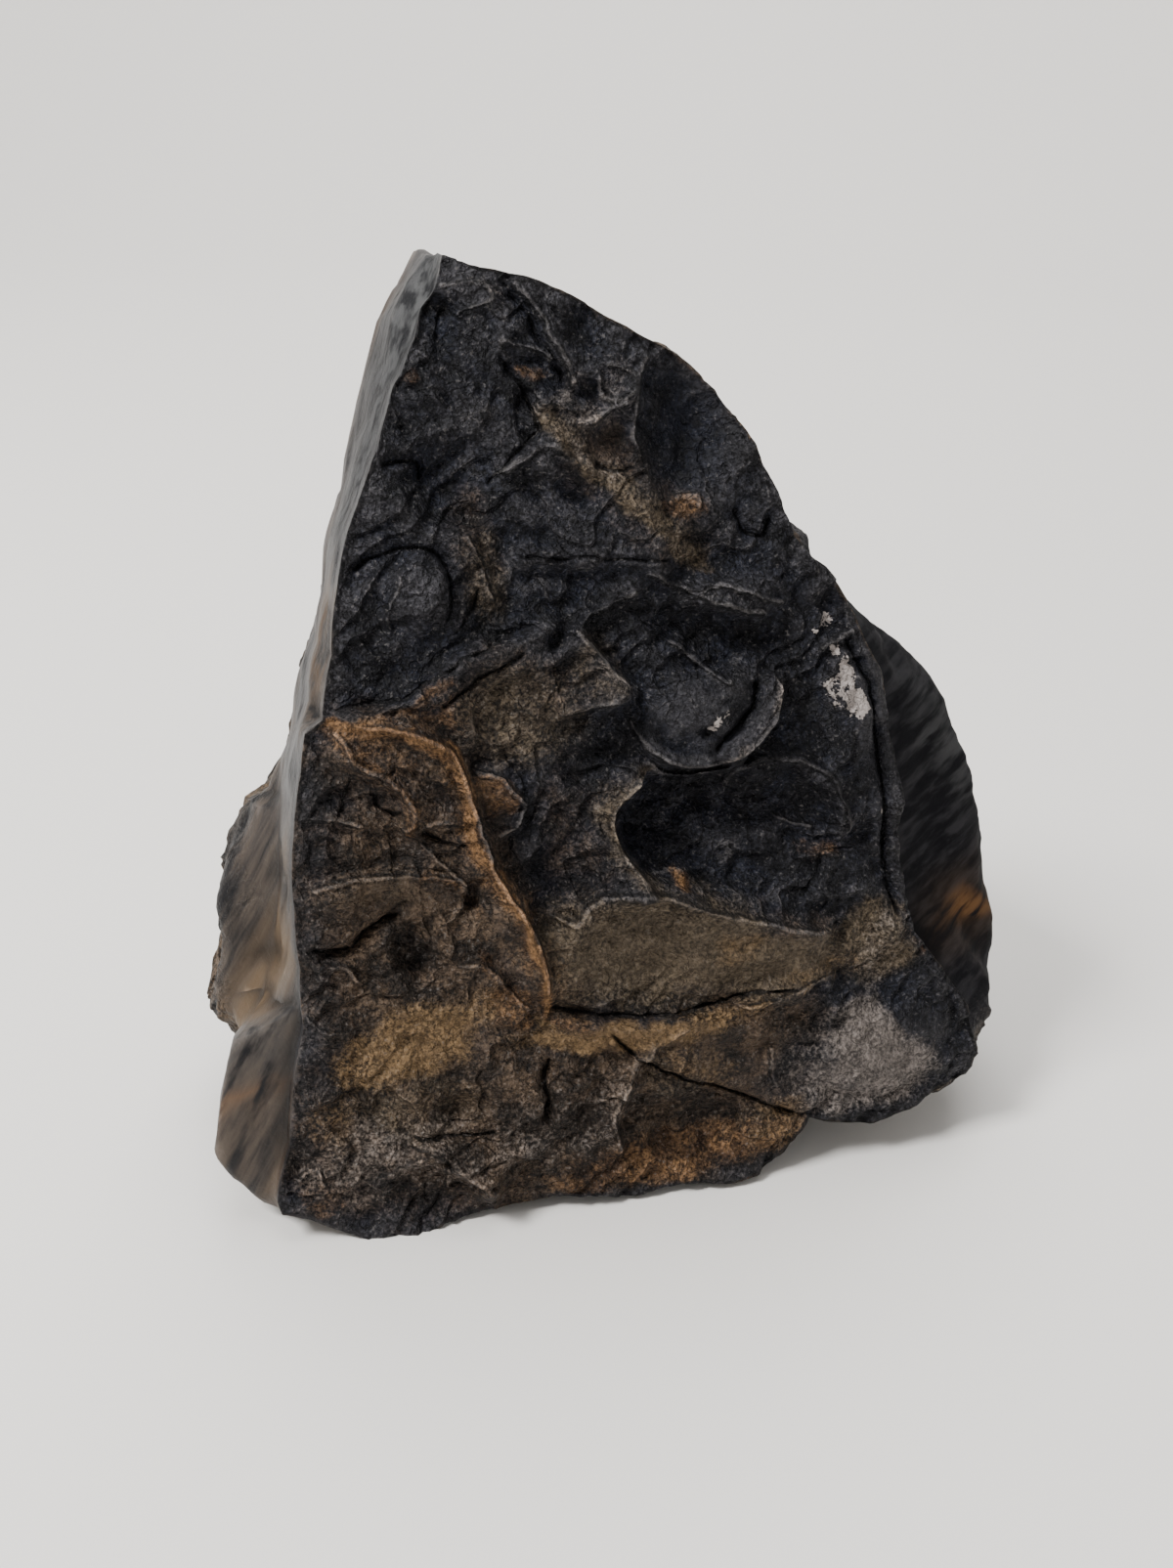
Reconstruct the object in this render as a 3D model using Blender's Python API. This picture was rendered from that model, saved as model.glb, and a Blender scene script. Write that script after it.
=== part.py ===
"""A rough lump of jet that rests on a small flat spot. One solid, metres, +Z up."""
import bmesh
import bpy
import numpy as np

# Everything below is in millimetres in the broken front face's own frame:
# s to the right along the face, t up the face, w the depth behind it.
TURN_DEG = 16.0
LEAN_DEG = 12.0
FACE_POINT = (0.978, 8.987, 77.019)
HUB = (2.0, -12.0, 32.0)
CENTRE = (5.96, 35.2)
GRID = 160
TARGET_TRIANGLES = 9000
SNAP_MM = 0.35
SEED = 1183

# Outline of the front face, clockwise from the tip.
FRONT = [
    (-20.5, 77), (-20, 79.3), (-15, 77.5), (-10, 76.5), (-5, 75), (0, 73), (5, 70), (10, 67.5),
    (15, 65), (20, 61.8), (22.5, 60), (25.5, 56.5), (28.5, 51), (30.5, 47), (33, 42.5),
    (36, 35.3), (38.6, 31.7), (41.5, 29.9), (43.5, 27), (47, 22.2), (49.5, 16), (52.3, 11),
    (53.3, 1.5), (56, -9), (56, -18.5), (57.5, -28.5), (59, -35), (62.5, -39.5), (66, -44),
    (71, -51), (72.7, -60), (71, -64.3), (66, -66.5), (61.5, -68.3), (57, -69.8), (52.5, -71),
    (47.5, -70.3), (43.5, -69.5), (39.8, -68), (38.3, -70.3), (35, -74), (32.5, -75.5),
    (30.3, -77), (25, -77.8), (18, -76.8), (11, -77), (7, -77.8), (1.3, -76.6), (-5.5, -75.8),
    (-10.5, -76), (-15, -76.5), (-21, -77), (-26.8, -78), (-31, -79.8), (-36.8, -79.8),
    (-40, -78.4), (-45.3, -76.2), (-48.8, -74), (-53.4, -72.5), (-54, -70), (-53.3, -66),
    (-51.5, -60.5), (-50.8, -54), (-49.5, -46), (-48, -40), (-48, -30), (-48.3, -20),
    (-47.7, -8), (-47, -3), (-46, 2), (-45, 8), (-42.2, 10), (-40.2, 20), (-38.8, 30),
    (-37, 37.5), (-35, 42.5), (-33.5, 46.5), (-31.5, 51), (-30, 55.5), (-28.5, 60),
    (-27, 62.5), (-25, 67), (-23.5, 71), (-21.5, 74),
]
# Sections further back, each with its depth.
SECTIONS = [
    (9.0, [
        (-21, 79.8), (-15, 77.3), (-10, 75.5), (-5, 73.8), (0, 71.8), (10, 66.5), (20, 61),
        (25.5, 56.5), (30.5, 47), (36, 36), (41.5, 30), (47, 22.6), (50.5, 20.5), (56, 15),
        (59.5, 7), (61.5, -4), (64, -16), (66, -27), (69, -36), (74, -43), (79.2, -49),
        (79.4, -55), (78, -60.5), (77, -64), (74, -67), (68, -69.5), (61, -71), (54, -71.5),
        (48, -70), (43, -69), (39.8, -69.5), (36, -73), (31, -75), (24, -75.5), (12, -75.8),
        (0, -75.6), (-15, -75.8), (-30, -77.5), (-40, -76.8), (-48, -75.5), (-54, -74.5),
        (-57.4, -72), (-60.6, -68.2), (-63.4, -63.5), (-62.6, -58), (-61.2, -51.5), (-59, -43.8),
        (-55, -41.2), (-50.5, -38.5), (-48.9, -31), (-48.6, -20), (-47.6, -5), (-45.6, 7),
        (-43.5, 12), (-41.3, 21), (-39.6, 29), (-35.3, 43.6), (-31.2, 54.6), (-28.3, 63.5),
        (-27.2, 70), (-24.3, 75.8),
    ]),
    (20.0, [
        (-20.8, 81.4), (-9, 76.6), (2, 72), (14, 65), (24, 58.5), (31, 52.5), (37, 42),
        (42, 33), (50, 24.5), (57.6, 19.2), (62.6, 16.2), (67.5, 12.3), (70.6, 7.6),
        (73.7, 2.5), (75.4, -2.4), (78.6, -10.1), (81.6, -19.8), (82.6, -27.5), (82.8, -34.3),
        (84.4, -38.4), (84.2, -45.4), (83, -51), (79, -57), (70, -61), (59, -64), (48, -66),
        (38, -69), (28, -71), (14, -73.4), (-8, -75.2), (-22, -75.6), (-38, -75), (-50, -71),
        (-57, -66), (-60, -60), (-59.5, -53), (-56.6, -46.5), (-53.5, -41.5), (-50, -33),
        (-48.9, -20), (-47.6, -5), (-44.6, 6.2), (-43.6, 13.4), (-40.6, 22), (-39.4, 28.7),
        (-34.6, 44.3), (-32, 55.1), (-29.2, 65.8), (-27.8, 70.6), (-23.8, 76.4),
    ]),
    (30.0, [
        (-19, 80), (-7, 75), (7, 69), (20, 61), (31, 52), (40, 40), (48, 30), (56, 22),
        (65, 15), (71.5, 10), (76, 3), (79.5, -6), (83, -16), (85.4, -27), (86.8, -37),
        (85.4, -46), (79.4, -53), (68, -59), (52, -64), (36, -67.5), (20, -71.6), (0, -74),
        (-18, -74), (-34, -71.5), (-44, -69), (-50.5, -63), (-54, -56), (-56.6, -49),
        (-59.6, -45.6), (-60.2, -40), (-59.3, -33), (-58.6, -25), (-56.4, -18.5),
        (-53.6, -14), (-51.8, -9), (-48, -6.5), (-44.4, 3), (-42, 12.5), (-37.8, 27.7),
        (-32.6, 43.9), (-29.6, 55.1), (-25.2, 69),
    ]),
    (42.0, [
        (-12, 74), (0, 72), (14, 64), (30, 53), (42, 40), (52, 28), (61, 19), (69, 10),
        (75, -2), (79, -14), (83, -27), (85, -37), (81, -47), (71, -54), (57, -59), (42, -64.5),
        (28, -67), (14, -71.2), (-8, -72.6), (-24, -71), (-38, -66), (-48, -60.5), (-53.5, -55),
        (-57, -51.5), (-60, -49), (-60.6, -43), (-59.4, -36), (-58.4, -27), (-55.8, -21),
        (-52.6, -17), (-51, -11), (-47, -8), (-43, -2), (-40, 9), (-35.5, 27), (-29.5, 44),
        (-24, 56), (-18, 67),
    ]),
    (60.0, [
        (-10, 60), (10, 60), (30, 48), (48, 30), (62, 12), (72, -8), (77, -28), (76, -42),
        (64, -51), (46, -59), (28, -66), (8, -69), (-12, -67), (-30, -61), (-46, -52), (-56, -42),
        (-55, -28), (-48, -16), (-40, 0), (-33, 24), (-22, 46),
    ]),
    (78.0, [
        (-8, 44), (10, 46), (28, 36), (44, 18), (56, 2), (64, -16), (66, -32), (58, -44),
        (38, -52), (12, -55), (-14, -54), (-34, -48), (-44, -38), (-42, -22), (-34, -4),
        (-24, 22),
    ]),
]
# Broken faces: outward normal in (s, t, w) and a point on the face.
CLEAVES = [
    ((-0.05, 0.55, 0.83), (0, 76, 27)),
    ((0.42, 0.50, 0.76), (30, 52, 40)),
    ((-0.50, 0.30, 0.81), (-36, 22, 50)),
    ((0.80, 0.10, 0.59), (72, -10, 56)),
    ((0.30, -0.62, 0.72), (40, -52, 64)),
    ((-0.55, -0.35, 0.76), (-46, -44, 62)),
    ((0.10, 0.05, 0.99), (0, -10, 79)),
]
# Shell shaped scars: centre of the sphere in (s, t, w) and its radius.
SCARS = [
    ((34, 40, 92), 42), ((-34, -2, 108), 44), ((18, -30, 116), 42), ((-70, 20, 84), 40),
    ((84, 12, 74), 26), ((-20, -78, 92), 32), ((92, -62, 44), 22), ((8, 78, 76), 40),
    ((-62, -70, 66), 20), ((60, -30, 104), 36),
]
# Ridges and grooves of the front: height, reach to the left, reach to the right, path.
RIDGES = [
    (4.2, 1.6, 8.0, [(-36, 9), (-30, 8.5), (-25, 5.5), (-22, 1), (-20, -5.5), (-17, -13),
                     (-13, -21), (-10, -29), (-8.2, -38), (-8, -42)]),
    (3.8, 1.3, 11.0, [(-44, 10.3), (-37, 11), (-29, 12), (-26, 14), (-23, 17), (-19, 19.5),
                      (-13, 20), (-7, 22.5), (-2, 22.5)]),
    (4.4, 1.6, 9.0, [(-3, 23.2), (0, 20), (2, 17.3), (4.8, 14), (7, 12.5)]),
    (2.0, 1.2, 4.5, [(7.5, 12.7), (5.8, 11), (2.5, 10.3), (-6, 9)]),
    (3.2, 2.2, 7.0, [(0, -10), (3, -14), (5.5, -17), (9, -21), (11, -22.8)]),
    (2.2, 2.0, 3.0, [(10, -3), (6, -6.5), (3.4, -9.5), (4, -12), (4.5, -14)]),
    (4.4, 2.4, 13.0, [(-10, -23.5), (-3, -27), (-1.7, -24.5), (2.3, -21.5), (11, -22.5),
                      (19, -25.5), (27.5, -28.8), (35.5, -31), (43.5, -33), (48, -30.5)]),
    (2.8, 1.3, 11.0, [(-11, -41.6), (-4, -43.5), (4, -45), (16.5, -44.8), (24.5, -43.5),
                      (31.5, -41.5), (41, -42.5)]),
    (3.2, 6.0, 5.0, [(-5, 54), (-2, 49), (5, 44), (11, 38), (19, 31.5)]),
    (2.8, 6.0, 1.8, [(-13, 34), (-8, 33), (0, 33), (6, 32.5), (16, 31.3)]),
    (2.2, 4.0, 1.6, [(14, 23), (18, 25.5), (24, 25.5), (28, 23.5), (33, 23)]),
    (3.0, 7.0, 2.0, [(-33, -61.5), (-27.5, -64), (-24.5, -67), (-20, -72), (-15, -75)]),
    (2.4, 3.5, 1.4, [(-41, 8), (-39, 3.5), (-34, 1), (-30.5, -2), (-29, -6), (-31, -10)]),
    (1.8, 1.6, 4.0, [(-46, -19), (-37, -16), (-30, -15.5), (-22, -17.5)]),
    (-1.6, 1.2, 1.2, [(-46, -29), (-39, -27), (-34, -23.5), (-30, -20)]),
    (-1.8, 1.4, 1.4, [(-12, 77), (-10, 73), (-7, 68.5), (-5, 62), (-4.5, 59)]),
    (-1.0, 0.9, 0.9, [(1.5, -44.8), (7, -51.8), (14.5, -57), (25, -62), (39.8, -68)]),
    (-1.8, 1.4, 1.4, [(-8, -50.5), (-8.8, -54), (-8.2, -57), (-9.5, -61)]),
    (1.8, 1.5, 5.0, [(6, -51.5), (6.2, -55), (4.5, -59.5), (2.3, -65.3), (4, -70)]),
    (2.4, 1.5, 1.8, [(30, -1), (35, -2.5), (41.5, -8), (44, -12), (46, -19)]),
]
# Bowls (negative) and bumps (positive): height, centre, half sizes, turn in degrees.
HOLLOWS = [
    (-5.5, (22, -13), (24, 12), -12), (-4.5, (19, 54), (10, 13), -20),
    (-2.5, (5, 51), (5, 4), 30), (4.5, (20, 6.5), (13, 9), 12), (2.4, (-26, 29), (5, 7), 0),
    (-4.0, (-29, -29.5), (5.5, 6.5), 20), (-1.6, (-20, -20.5), (2, 2.8), 0),
    (2.0, (-46, -28.5), (3.5, 2.5), 0), (-2.4, (-21, 70), (5, 7), 20),
    (-4.0, (-12, 12), (10, 5), 20), (-3.0, (22, 20), (14, 6), 0), (-3.5, (-20, 45), (9, 8), 0),
    (-2.6, (-4, -17), (7, 6), 0), (-3.0, (20, -66), (12, 8), 10), (2.6, (-10, -55), (10, 7), 0),
    (-2.4, (-24, -58), (6, 4), 20), (2.2, (46, 8), (7, 12), 0), (2.6, (54, -56), (14, 9), 10),
]
NOISE = np.random.default_rng(SEED).random((24, 24, 24)) * 2 - 1


def smooth_noise(points, size):
    """Smoothed random values on a repeating lattice, between -1 and 1."""
    q = points / size
    cell = np.floor(q).astype(int)
    f = q - cell
    f = f * f * (3 - 2 * f)
    total = np.zeros(len(points))
    for corner in range(8):
        step = np.array([corner & 1, corner >> 1 & 1, corner >> 2 & 1])
        weight = np.prod(np.where(step, f, 1 - f), axis=1)
        index = (cell + step) % 24
        total += weight * NOISE[index[:, 0], index[:, 1], index[:, 2]]
    return total


def radius_table(outline, angle):
    """Distance from the hub to the outline in each direction."""
    p = np.array(outline, float) - HUB[:2]
    a = np.arctan2(p[:, 1], p[:, 0])
    order = np.argsort(a)
    return np.interp(angle, a[order], np.hypot(p[:, 0], p[:, 1])[order], period=2 * np.pi)


def radius(angle, depth):
    """Outline radius at a depth: a cubic through the sections."""
    levels = [0.0, 3.5] + [d for d, _ in SECTIONS]
    tables = [radius_table(FRONT, angle)] * 2 + [radius_table(o, angle) for _, o in SECTIONS]
    r = np.array(tables)
    w = np.array(levels)
    rise = np.diff(r, axis=0) / np.diff(w)[:, None]
    slope = np.zeros_like(r)
    same = rise[:-1] * rise[1:] > 0
    both = np.where(same, rise[:-1] + rise[1:], 1.0)
    slope[1:-1] = np.where(same, 2 * rise[:-1] * rise[1:] / both, 0)
    k = np.clip(np.searchsorted(w, depth, side="right") - 1, 0, len(w) - 2)
    gap = (w[k + 1] - w[k])
    f = np.clip((depth - w[k]) / gap, 0, 1)
    i = np.arange(len(angle))
    a, b = r[k, i], r[k + 1, i]
    ma, mb = slope[k, i] * gap, slope[k + 1, i] * gap
    return ((2 * f**3 - 3 * f**2 + 1) * a + (f**3 - 2 * f**2 + f) * ma
            + (3 * f**2 - 2 * f**3) * b + (f**3 - f**2) * mb)


def ridge(s, t, height, left, right, path):
    """Height beside a path: a different reach on each side, dying out at both ends."""
    best = np.full(len(s), 1e9)
    side = np.zeros(len(s))
    along = np.zeros(len(s))
    p = np.array(path, float)
    runs = np.hypot(*np.diff(p, axis=0).T)
    done = 0.0
    for a, b, run in zip(p[:-1], p[1:], runs):
        u = (b - a) / run
        x, y = s - a[0], t - a[1]
        f = np.clip(x * u[0] + y * u[1], 0, run)
        d = np.hypot(x - f * u[0], y - f * u[1])
        near = d < best
        best = np.where(near, d, best)
        side = np.where(near, np.sign(u[0] * y - u[1] * x), side)
        along = np.where(near, (done + f) / runs.sum(), along)
        done += run
    reach = np.where(side > 0, left, right)
    fade = np.clip(np.minimum(along, 1 - along) * 6, 0, 1)
    fade = fade * fade * (3 - 2 * fade)
    return height * fade * np.clip(1 - best / (2 * reach), 0, 1)**2


def front_height(s, t):
    """How far the broken front stands out of its plane."""
    wander = np.stack([s, t, s * 0], axis=1)
    s = s + 0.9 * smooth_noise(wander, 5.0)
    t = t + 0.9 * smooth_noise(wander + 50, 5.0)
    h = 1.4 - ((s - 2)**2 + (t + 12)**2 * 0.6) / 1800.0
    for height, left, right, path in RIDGES:
        h = h + ridge(s, t, height, left, right, path)
    for height, centre, size, turn in HOLLOWS:
        c, e = np.cos(np.radians(turn)), np.sin(np.radians(turn))
        x = ((s - centre[0]) * c + (t - centre[1]) * e) / size[0]
        y = (-(s - centre[0]) * e + (t - centre[1]) * c) / size[1]
        h = h + height * np.clip(1 - x * x - y * y, 0, 1)
    h = h + 0.8 * smooth_noise(wander, 9.0) + 0.4 * smooth_noise(wander + 20, 4.0)
    return h


def cube_mesh(cells):
    """A cube primitive cut into a grid on every side."""
    bm = bmesh.new()
    bmesh.ops.create_cube(bm, size=2.0)
    bmesh.ops.subdivide_edges(bm, edges=bm.edges[:], cuts=cells - 1, use_grid_fill=True)
    mesh = bpy.data.meshes.new("rough_jet")
    bm.to_mesh(mesh)
    bm.free()
    return mesh


def shape(cube):
    """Cube points to the stone's surface in the front face's frame."""
    a, b, c = cube.T
    q = np.maximum(np.abs(a), np.abs(b))
    across = np.where(a < 0, np.pi, 0) + np.pi / 4 * b / np.where(a == 0, 1, a)
    upward = np.where(b < 0, -1, 1) * np.pi / 2 - np.pi / 4 * a / np.where(b == 0, 1, b)
    angle = np.where(np.abs(a) >= np.abs(b), across, upward)
    rim = np.clip(q, 0, 1)
    front = radius(angle, np.zeros(len(a)))
    s0 = HUB[0] + rim * front * np.cos(angle)
    t0 = HUB[1] + rim * front * np.sin(angle)
    start = -front_height(s0, t0)
    back = 80.0
    share = (1 - c) / 2
    depth = start + (back - start) * share
    reach = radius(angle, np.clip(depth, 0, 78)) * rim
    s = HUB[0] + reach * np.cos(angle)
    t = HUB[1] + reach * np.sin(angle)
    return np.stack([s, t, depth], axis=1)


def cut(points, origin):
    """Bring points in along their rays from the hub to the broken faces, scars and floor."""
    hub = np.array(HUB)
    ray = points - hub
    keep = np.ones(len(points))
    for normal, place in CLEAVES:
        n = np.array(normal) / np.linalg.norm(normal)
        room = n @ (np.array(place, float) - hub)
        rise = ray @ n
        keep = np.minimum(keep, np.where(rise > 1e-6, room / np.maximum(rise, 1e-6), 1e9))
    for centre, size in SCARS:
        away = np.array(centre, float) - hub
        aa = np.sum(ray * ray, axis=1)
        bb = ray @ away
        inside = bb * bb - aa * (away @ away - size * size)
        entry = (bb - np.sqrt(np.maximum(inside, 0))) / aa
        keep = np.minimum(keep, np.where((inside > 0) & (entry > 0), entry, 1e9))
    return hub + ray * keep[:, None]


def face_axes():
    """The front face's s, t and outward directions in the upright frame."""
    turn, lean = np.radians(TURN_DEG), np.radians(LEAN_DEG)
    es = np.array([np.cos(turn), np.sin(turn), 0])
    flat = np.array([np.sin(turn), -np.cos(turn), 0])
    up = np.array([0, 0, 1.0])
    et = -flat * np.sin(lean) + up * np.cos(lean)
    return es, et, flat * np.cos(lean) + up * np.sin(lean)


def upright(points):
    """Face frame to the upright frame."""
    es, et, out = face_axes()
    s, t, w = points.T
    return np.array(FACE_POINT) + s[:, None] * es + t[:, None] * et - w[:, None] * out


def roughen(points):
    """Lumps on the sides and back, laid out from the hub; the front keeps its own relief."""
    hub = np.array(HUB)
    ray = points - hub
    size = np.linalg.norm(ray, axis=1)
    side = np.clip((points[:, 2] - 3) / 10, 0, 1)
    satin = np.clip(1 - np.abs(points[:, 2] - 14) / 16, 0, 1) * (points[:, 0] < -20)
    rough = side * (1 - 0.8 * satin)
    push = 1.3 * smooth_noise(points, 13.0) + 0.8 * smooth_noise(points + 30, 6.0)
    return points + ray / size[:, None] * (push * rough)[:, None]


def rest_flat(points):
    """Lift what is below the floor on to it, towards the hub."""
    hub = upright(np.array([HUB]))[0]
    ray = points - hub
    keep = np.where(points[:, 2] < 0, -hub[2] / np.minimum(ray[:, 2], -1e-6), 1.0)
    return hub + ray * keep[:, None]


def material(name, color, roughness):
    """A plain Principled material."""
    mat = bpy.data.materials.new(name)
    mat.use_nodes = True
    shader = mat.node_tree.nodes["Principled BSDF"]
    shader.inputs["Base Color"].default_value = color
    shader.inputs["Roughness"].default_value = roughness
    mat.diffuse_color = color
    return mat


def thin_out(mesh, triangles):
    """Collapse edges down to the wanted number of triangles."""
    ob = bpy.data.objects.new("dense", mesh)
    bpy.context.scene.collection.objects.link(ob)
    mod = ob.modifiers.new("thin", "DECIMATE")
    mod.ratio = triangles / (2.0 * len(mesh.polygons))
    graph = bpy.context.evaluated_depsgraph_get()
    thin = bpy.data.meshes.new_from_object(ob.evaluated_get(graph))
    bpy.data.objects.remove(ob)
    return thin


def build():
    """Model the stone and centre it on the origin."""
    for old in list(bpy.data.objects):
        bpy.data.objects.remove(old)
    mesh = cube_mesh(GRID)
    cube = np.empty(len(mesh.vertices) * 3)
    mesh.vertices.foreach_get("co", cube)
    body = roughen(cut(shape(cube.reshape(-1, 3)), HUB))
    body = rest_flat(upright(body))
    mesh.vertices.foreach_set("co", (body * 0.001).ravel())
    mesh.update()
    thin = thin_out(mesh, TARGET_TRIANGLES)
    co = np.empty(len(thin.vertices) * 3)
    thin.vertices.foreach_get("co", co)
    co = co.reshape(-1, 3)
    co[:, 2] = np.where(co[:, 2] < SNAP_MM * 0.001, 0.0, co[:, 2])
    co[:, :2] -= np.array(CENTRE) * 0.001
    print("off centre", (co.min(axis=0) + co.max(axis=0))[:2] * 500)
    thin.vertices.foreach_set("co", co.ravel())
    thin.name = "rough_jet"
    thin.materials.clear()
    thin.materials.append(material("jet", (0.028, 0.024, 0.022, 1.0), 0.5))
    thin.update()
    stone = bpy.data.objects.new("rough_jet", thin)
    group = bpy.data.collections.new("rough_jet")
    bpy.context.scene.collection.children.link(group)
    group.objects.link(stone)


build()
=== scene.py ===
import bpy
import mathutils
import numpy as np
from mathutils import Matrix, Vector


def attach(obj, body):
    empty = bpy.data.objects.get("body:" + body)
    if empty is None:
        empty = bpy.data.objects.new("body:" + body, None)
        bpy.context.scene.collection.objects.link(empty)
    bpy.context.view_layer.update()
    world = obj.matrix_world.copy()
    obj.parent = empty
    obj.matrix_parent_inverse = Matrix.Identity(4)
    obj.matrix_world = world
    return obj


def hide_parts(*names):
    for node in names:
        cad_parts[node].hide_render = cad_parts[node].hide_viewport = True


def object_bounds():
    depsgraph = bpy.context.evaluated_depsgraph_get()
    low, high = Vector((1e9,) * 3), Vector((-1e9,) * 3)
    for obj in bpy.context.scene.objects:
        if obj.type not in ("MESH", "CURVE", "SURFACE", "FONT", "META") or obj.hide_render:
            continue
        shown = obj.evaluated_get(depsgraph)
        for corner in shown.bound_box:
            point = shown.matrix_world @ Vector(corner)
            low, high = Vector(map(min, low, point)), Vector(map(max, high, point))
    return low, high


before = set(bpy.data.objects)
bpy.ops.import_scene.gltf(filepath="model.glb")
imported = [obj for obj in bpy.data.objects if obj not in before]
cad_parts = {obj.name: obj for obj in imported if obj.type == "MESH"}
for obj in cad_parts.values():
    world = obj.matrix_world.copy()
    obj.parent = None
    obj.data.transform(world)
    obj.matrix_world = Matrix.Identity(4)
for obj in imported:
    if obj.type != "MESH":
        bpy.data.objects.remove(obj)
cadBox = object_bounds()
print("frame loaded")

# The stone is worked out in millimetres on its broken face: s to the right, t up the face and w
# behind it.
stoneForm = {
    "turn": 16.0, "lean": 12.0,                     # degrees the face is turned and leans back
    "facePoint": (0.978, 8.987, 77.019),            # where s = t = w = 0 lies
    "centre": (5.96, 35.2),                         # middle of the footprint
    "hub": (2.0, -12.0, 32.0),                      # the point every ray starts from
    "backDepth": 80.0, "lastSection": 78.0,
    "gridCells": 520,        # squares along one side of the front's net
    "fineRows": 12,            # band rows as fine as the front's rim
    "fineStep": 0.25,                               # depth of one of them
    "bandRows": 130,          # rows behind them, half as fine
    "triangles": 192000,
    "sharpAngle": 42,
}

frontOutline = [
    (-20.5, 77), (-20, 79.3), (-15, 77.5), (-10, 76.5), (-5, 75), (0, 73), (5, 70), (10, 67.5),
    (15, 65), (20, 61.8), (22.5, 60), (25.5, 56.5), (28.5, 51), (30.5, 47), (33, 42.5), (36, 35.3),
    (38.6, 31.7), (41.5, 29.9), (43.5, 27), (47, 22.2), (49.5, 16), (52.3, 11), (53.3, 1.5),
    (56, -9), (56, -18.5), (57.5, -28.5), (59, -35), (62.5, -39.5), (66, -44), (71, -51),
    (72.7, -60), (71, -64.3), (66, -66.5), (61.5, -68.3), (57, -69.8), (52.5, -71), (47.5, -70.3),
    (43.5, -69.5), (39.8, -68), (38.3, -70.3), (35, -74), (32.5, -75.5), (30.3, -77), (25, -77.8),
    (18, -76.8), (11, -77), (7, -77.8), (1.3, -76.6), (-5.5, -75.8), (-10.5, -76), (-15, -76.5),
    (-21, -77), (-26.8, -78), (-31, -79.8), (-36.8, -79.8), (-40, -78.4), (-45.3, -76.2),
    (-48.8, -74), (-53.4, -72.5), (-54, -70), (-53.3, -66), (-51.5, -60.5), (-50.8, -54),
    (-49.5, -46), (-48, -40), (-48, -30), (-48.3, -20), (-47.7, -8), (-47, -3), (-46, 2), (-45, 8),
    (-42.2, 10), (-40.2, 20), (-38.8, 30), (-37, 37.5), (-35, 42.5), (-33.5, 46.5), (-31.5, 51),
    (-30, 55.5), (-28.5, 60), (-27, 62.5), (-25, 67), (-23.5, 71), (-21.5, 74),
]

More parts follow.
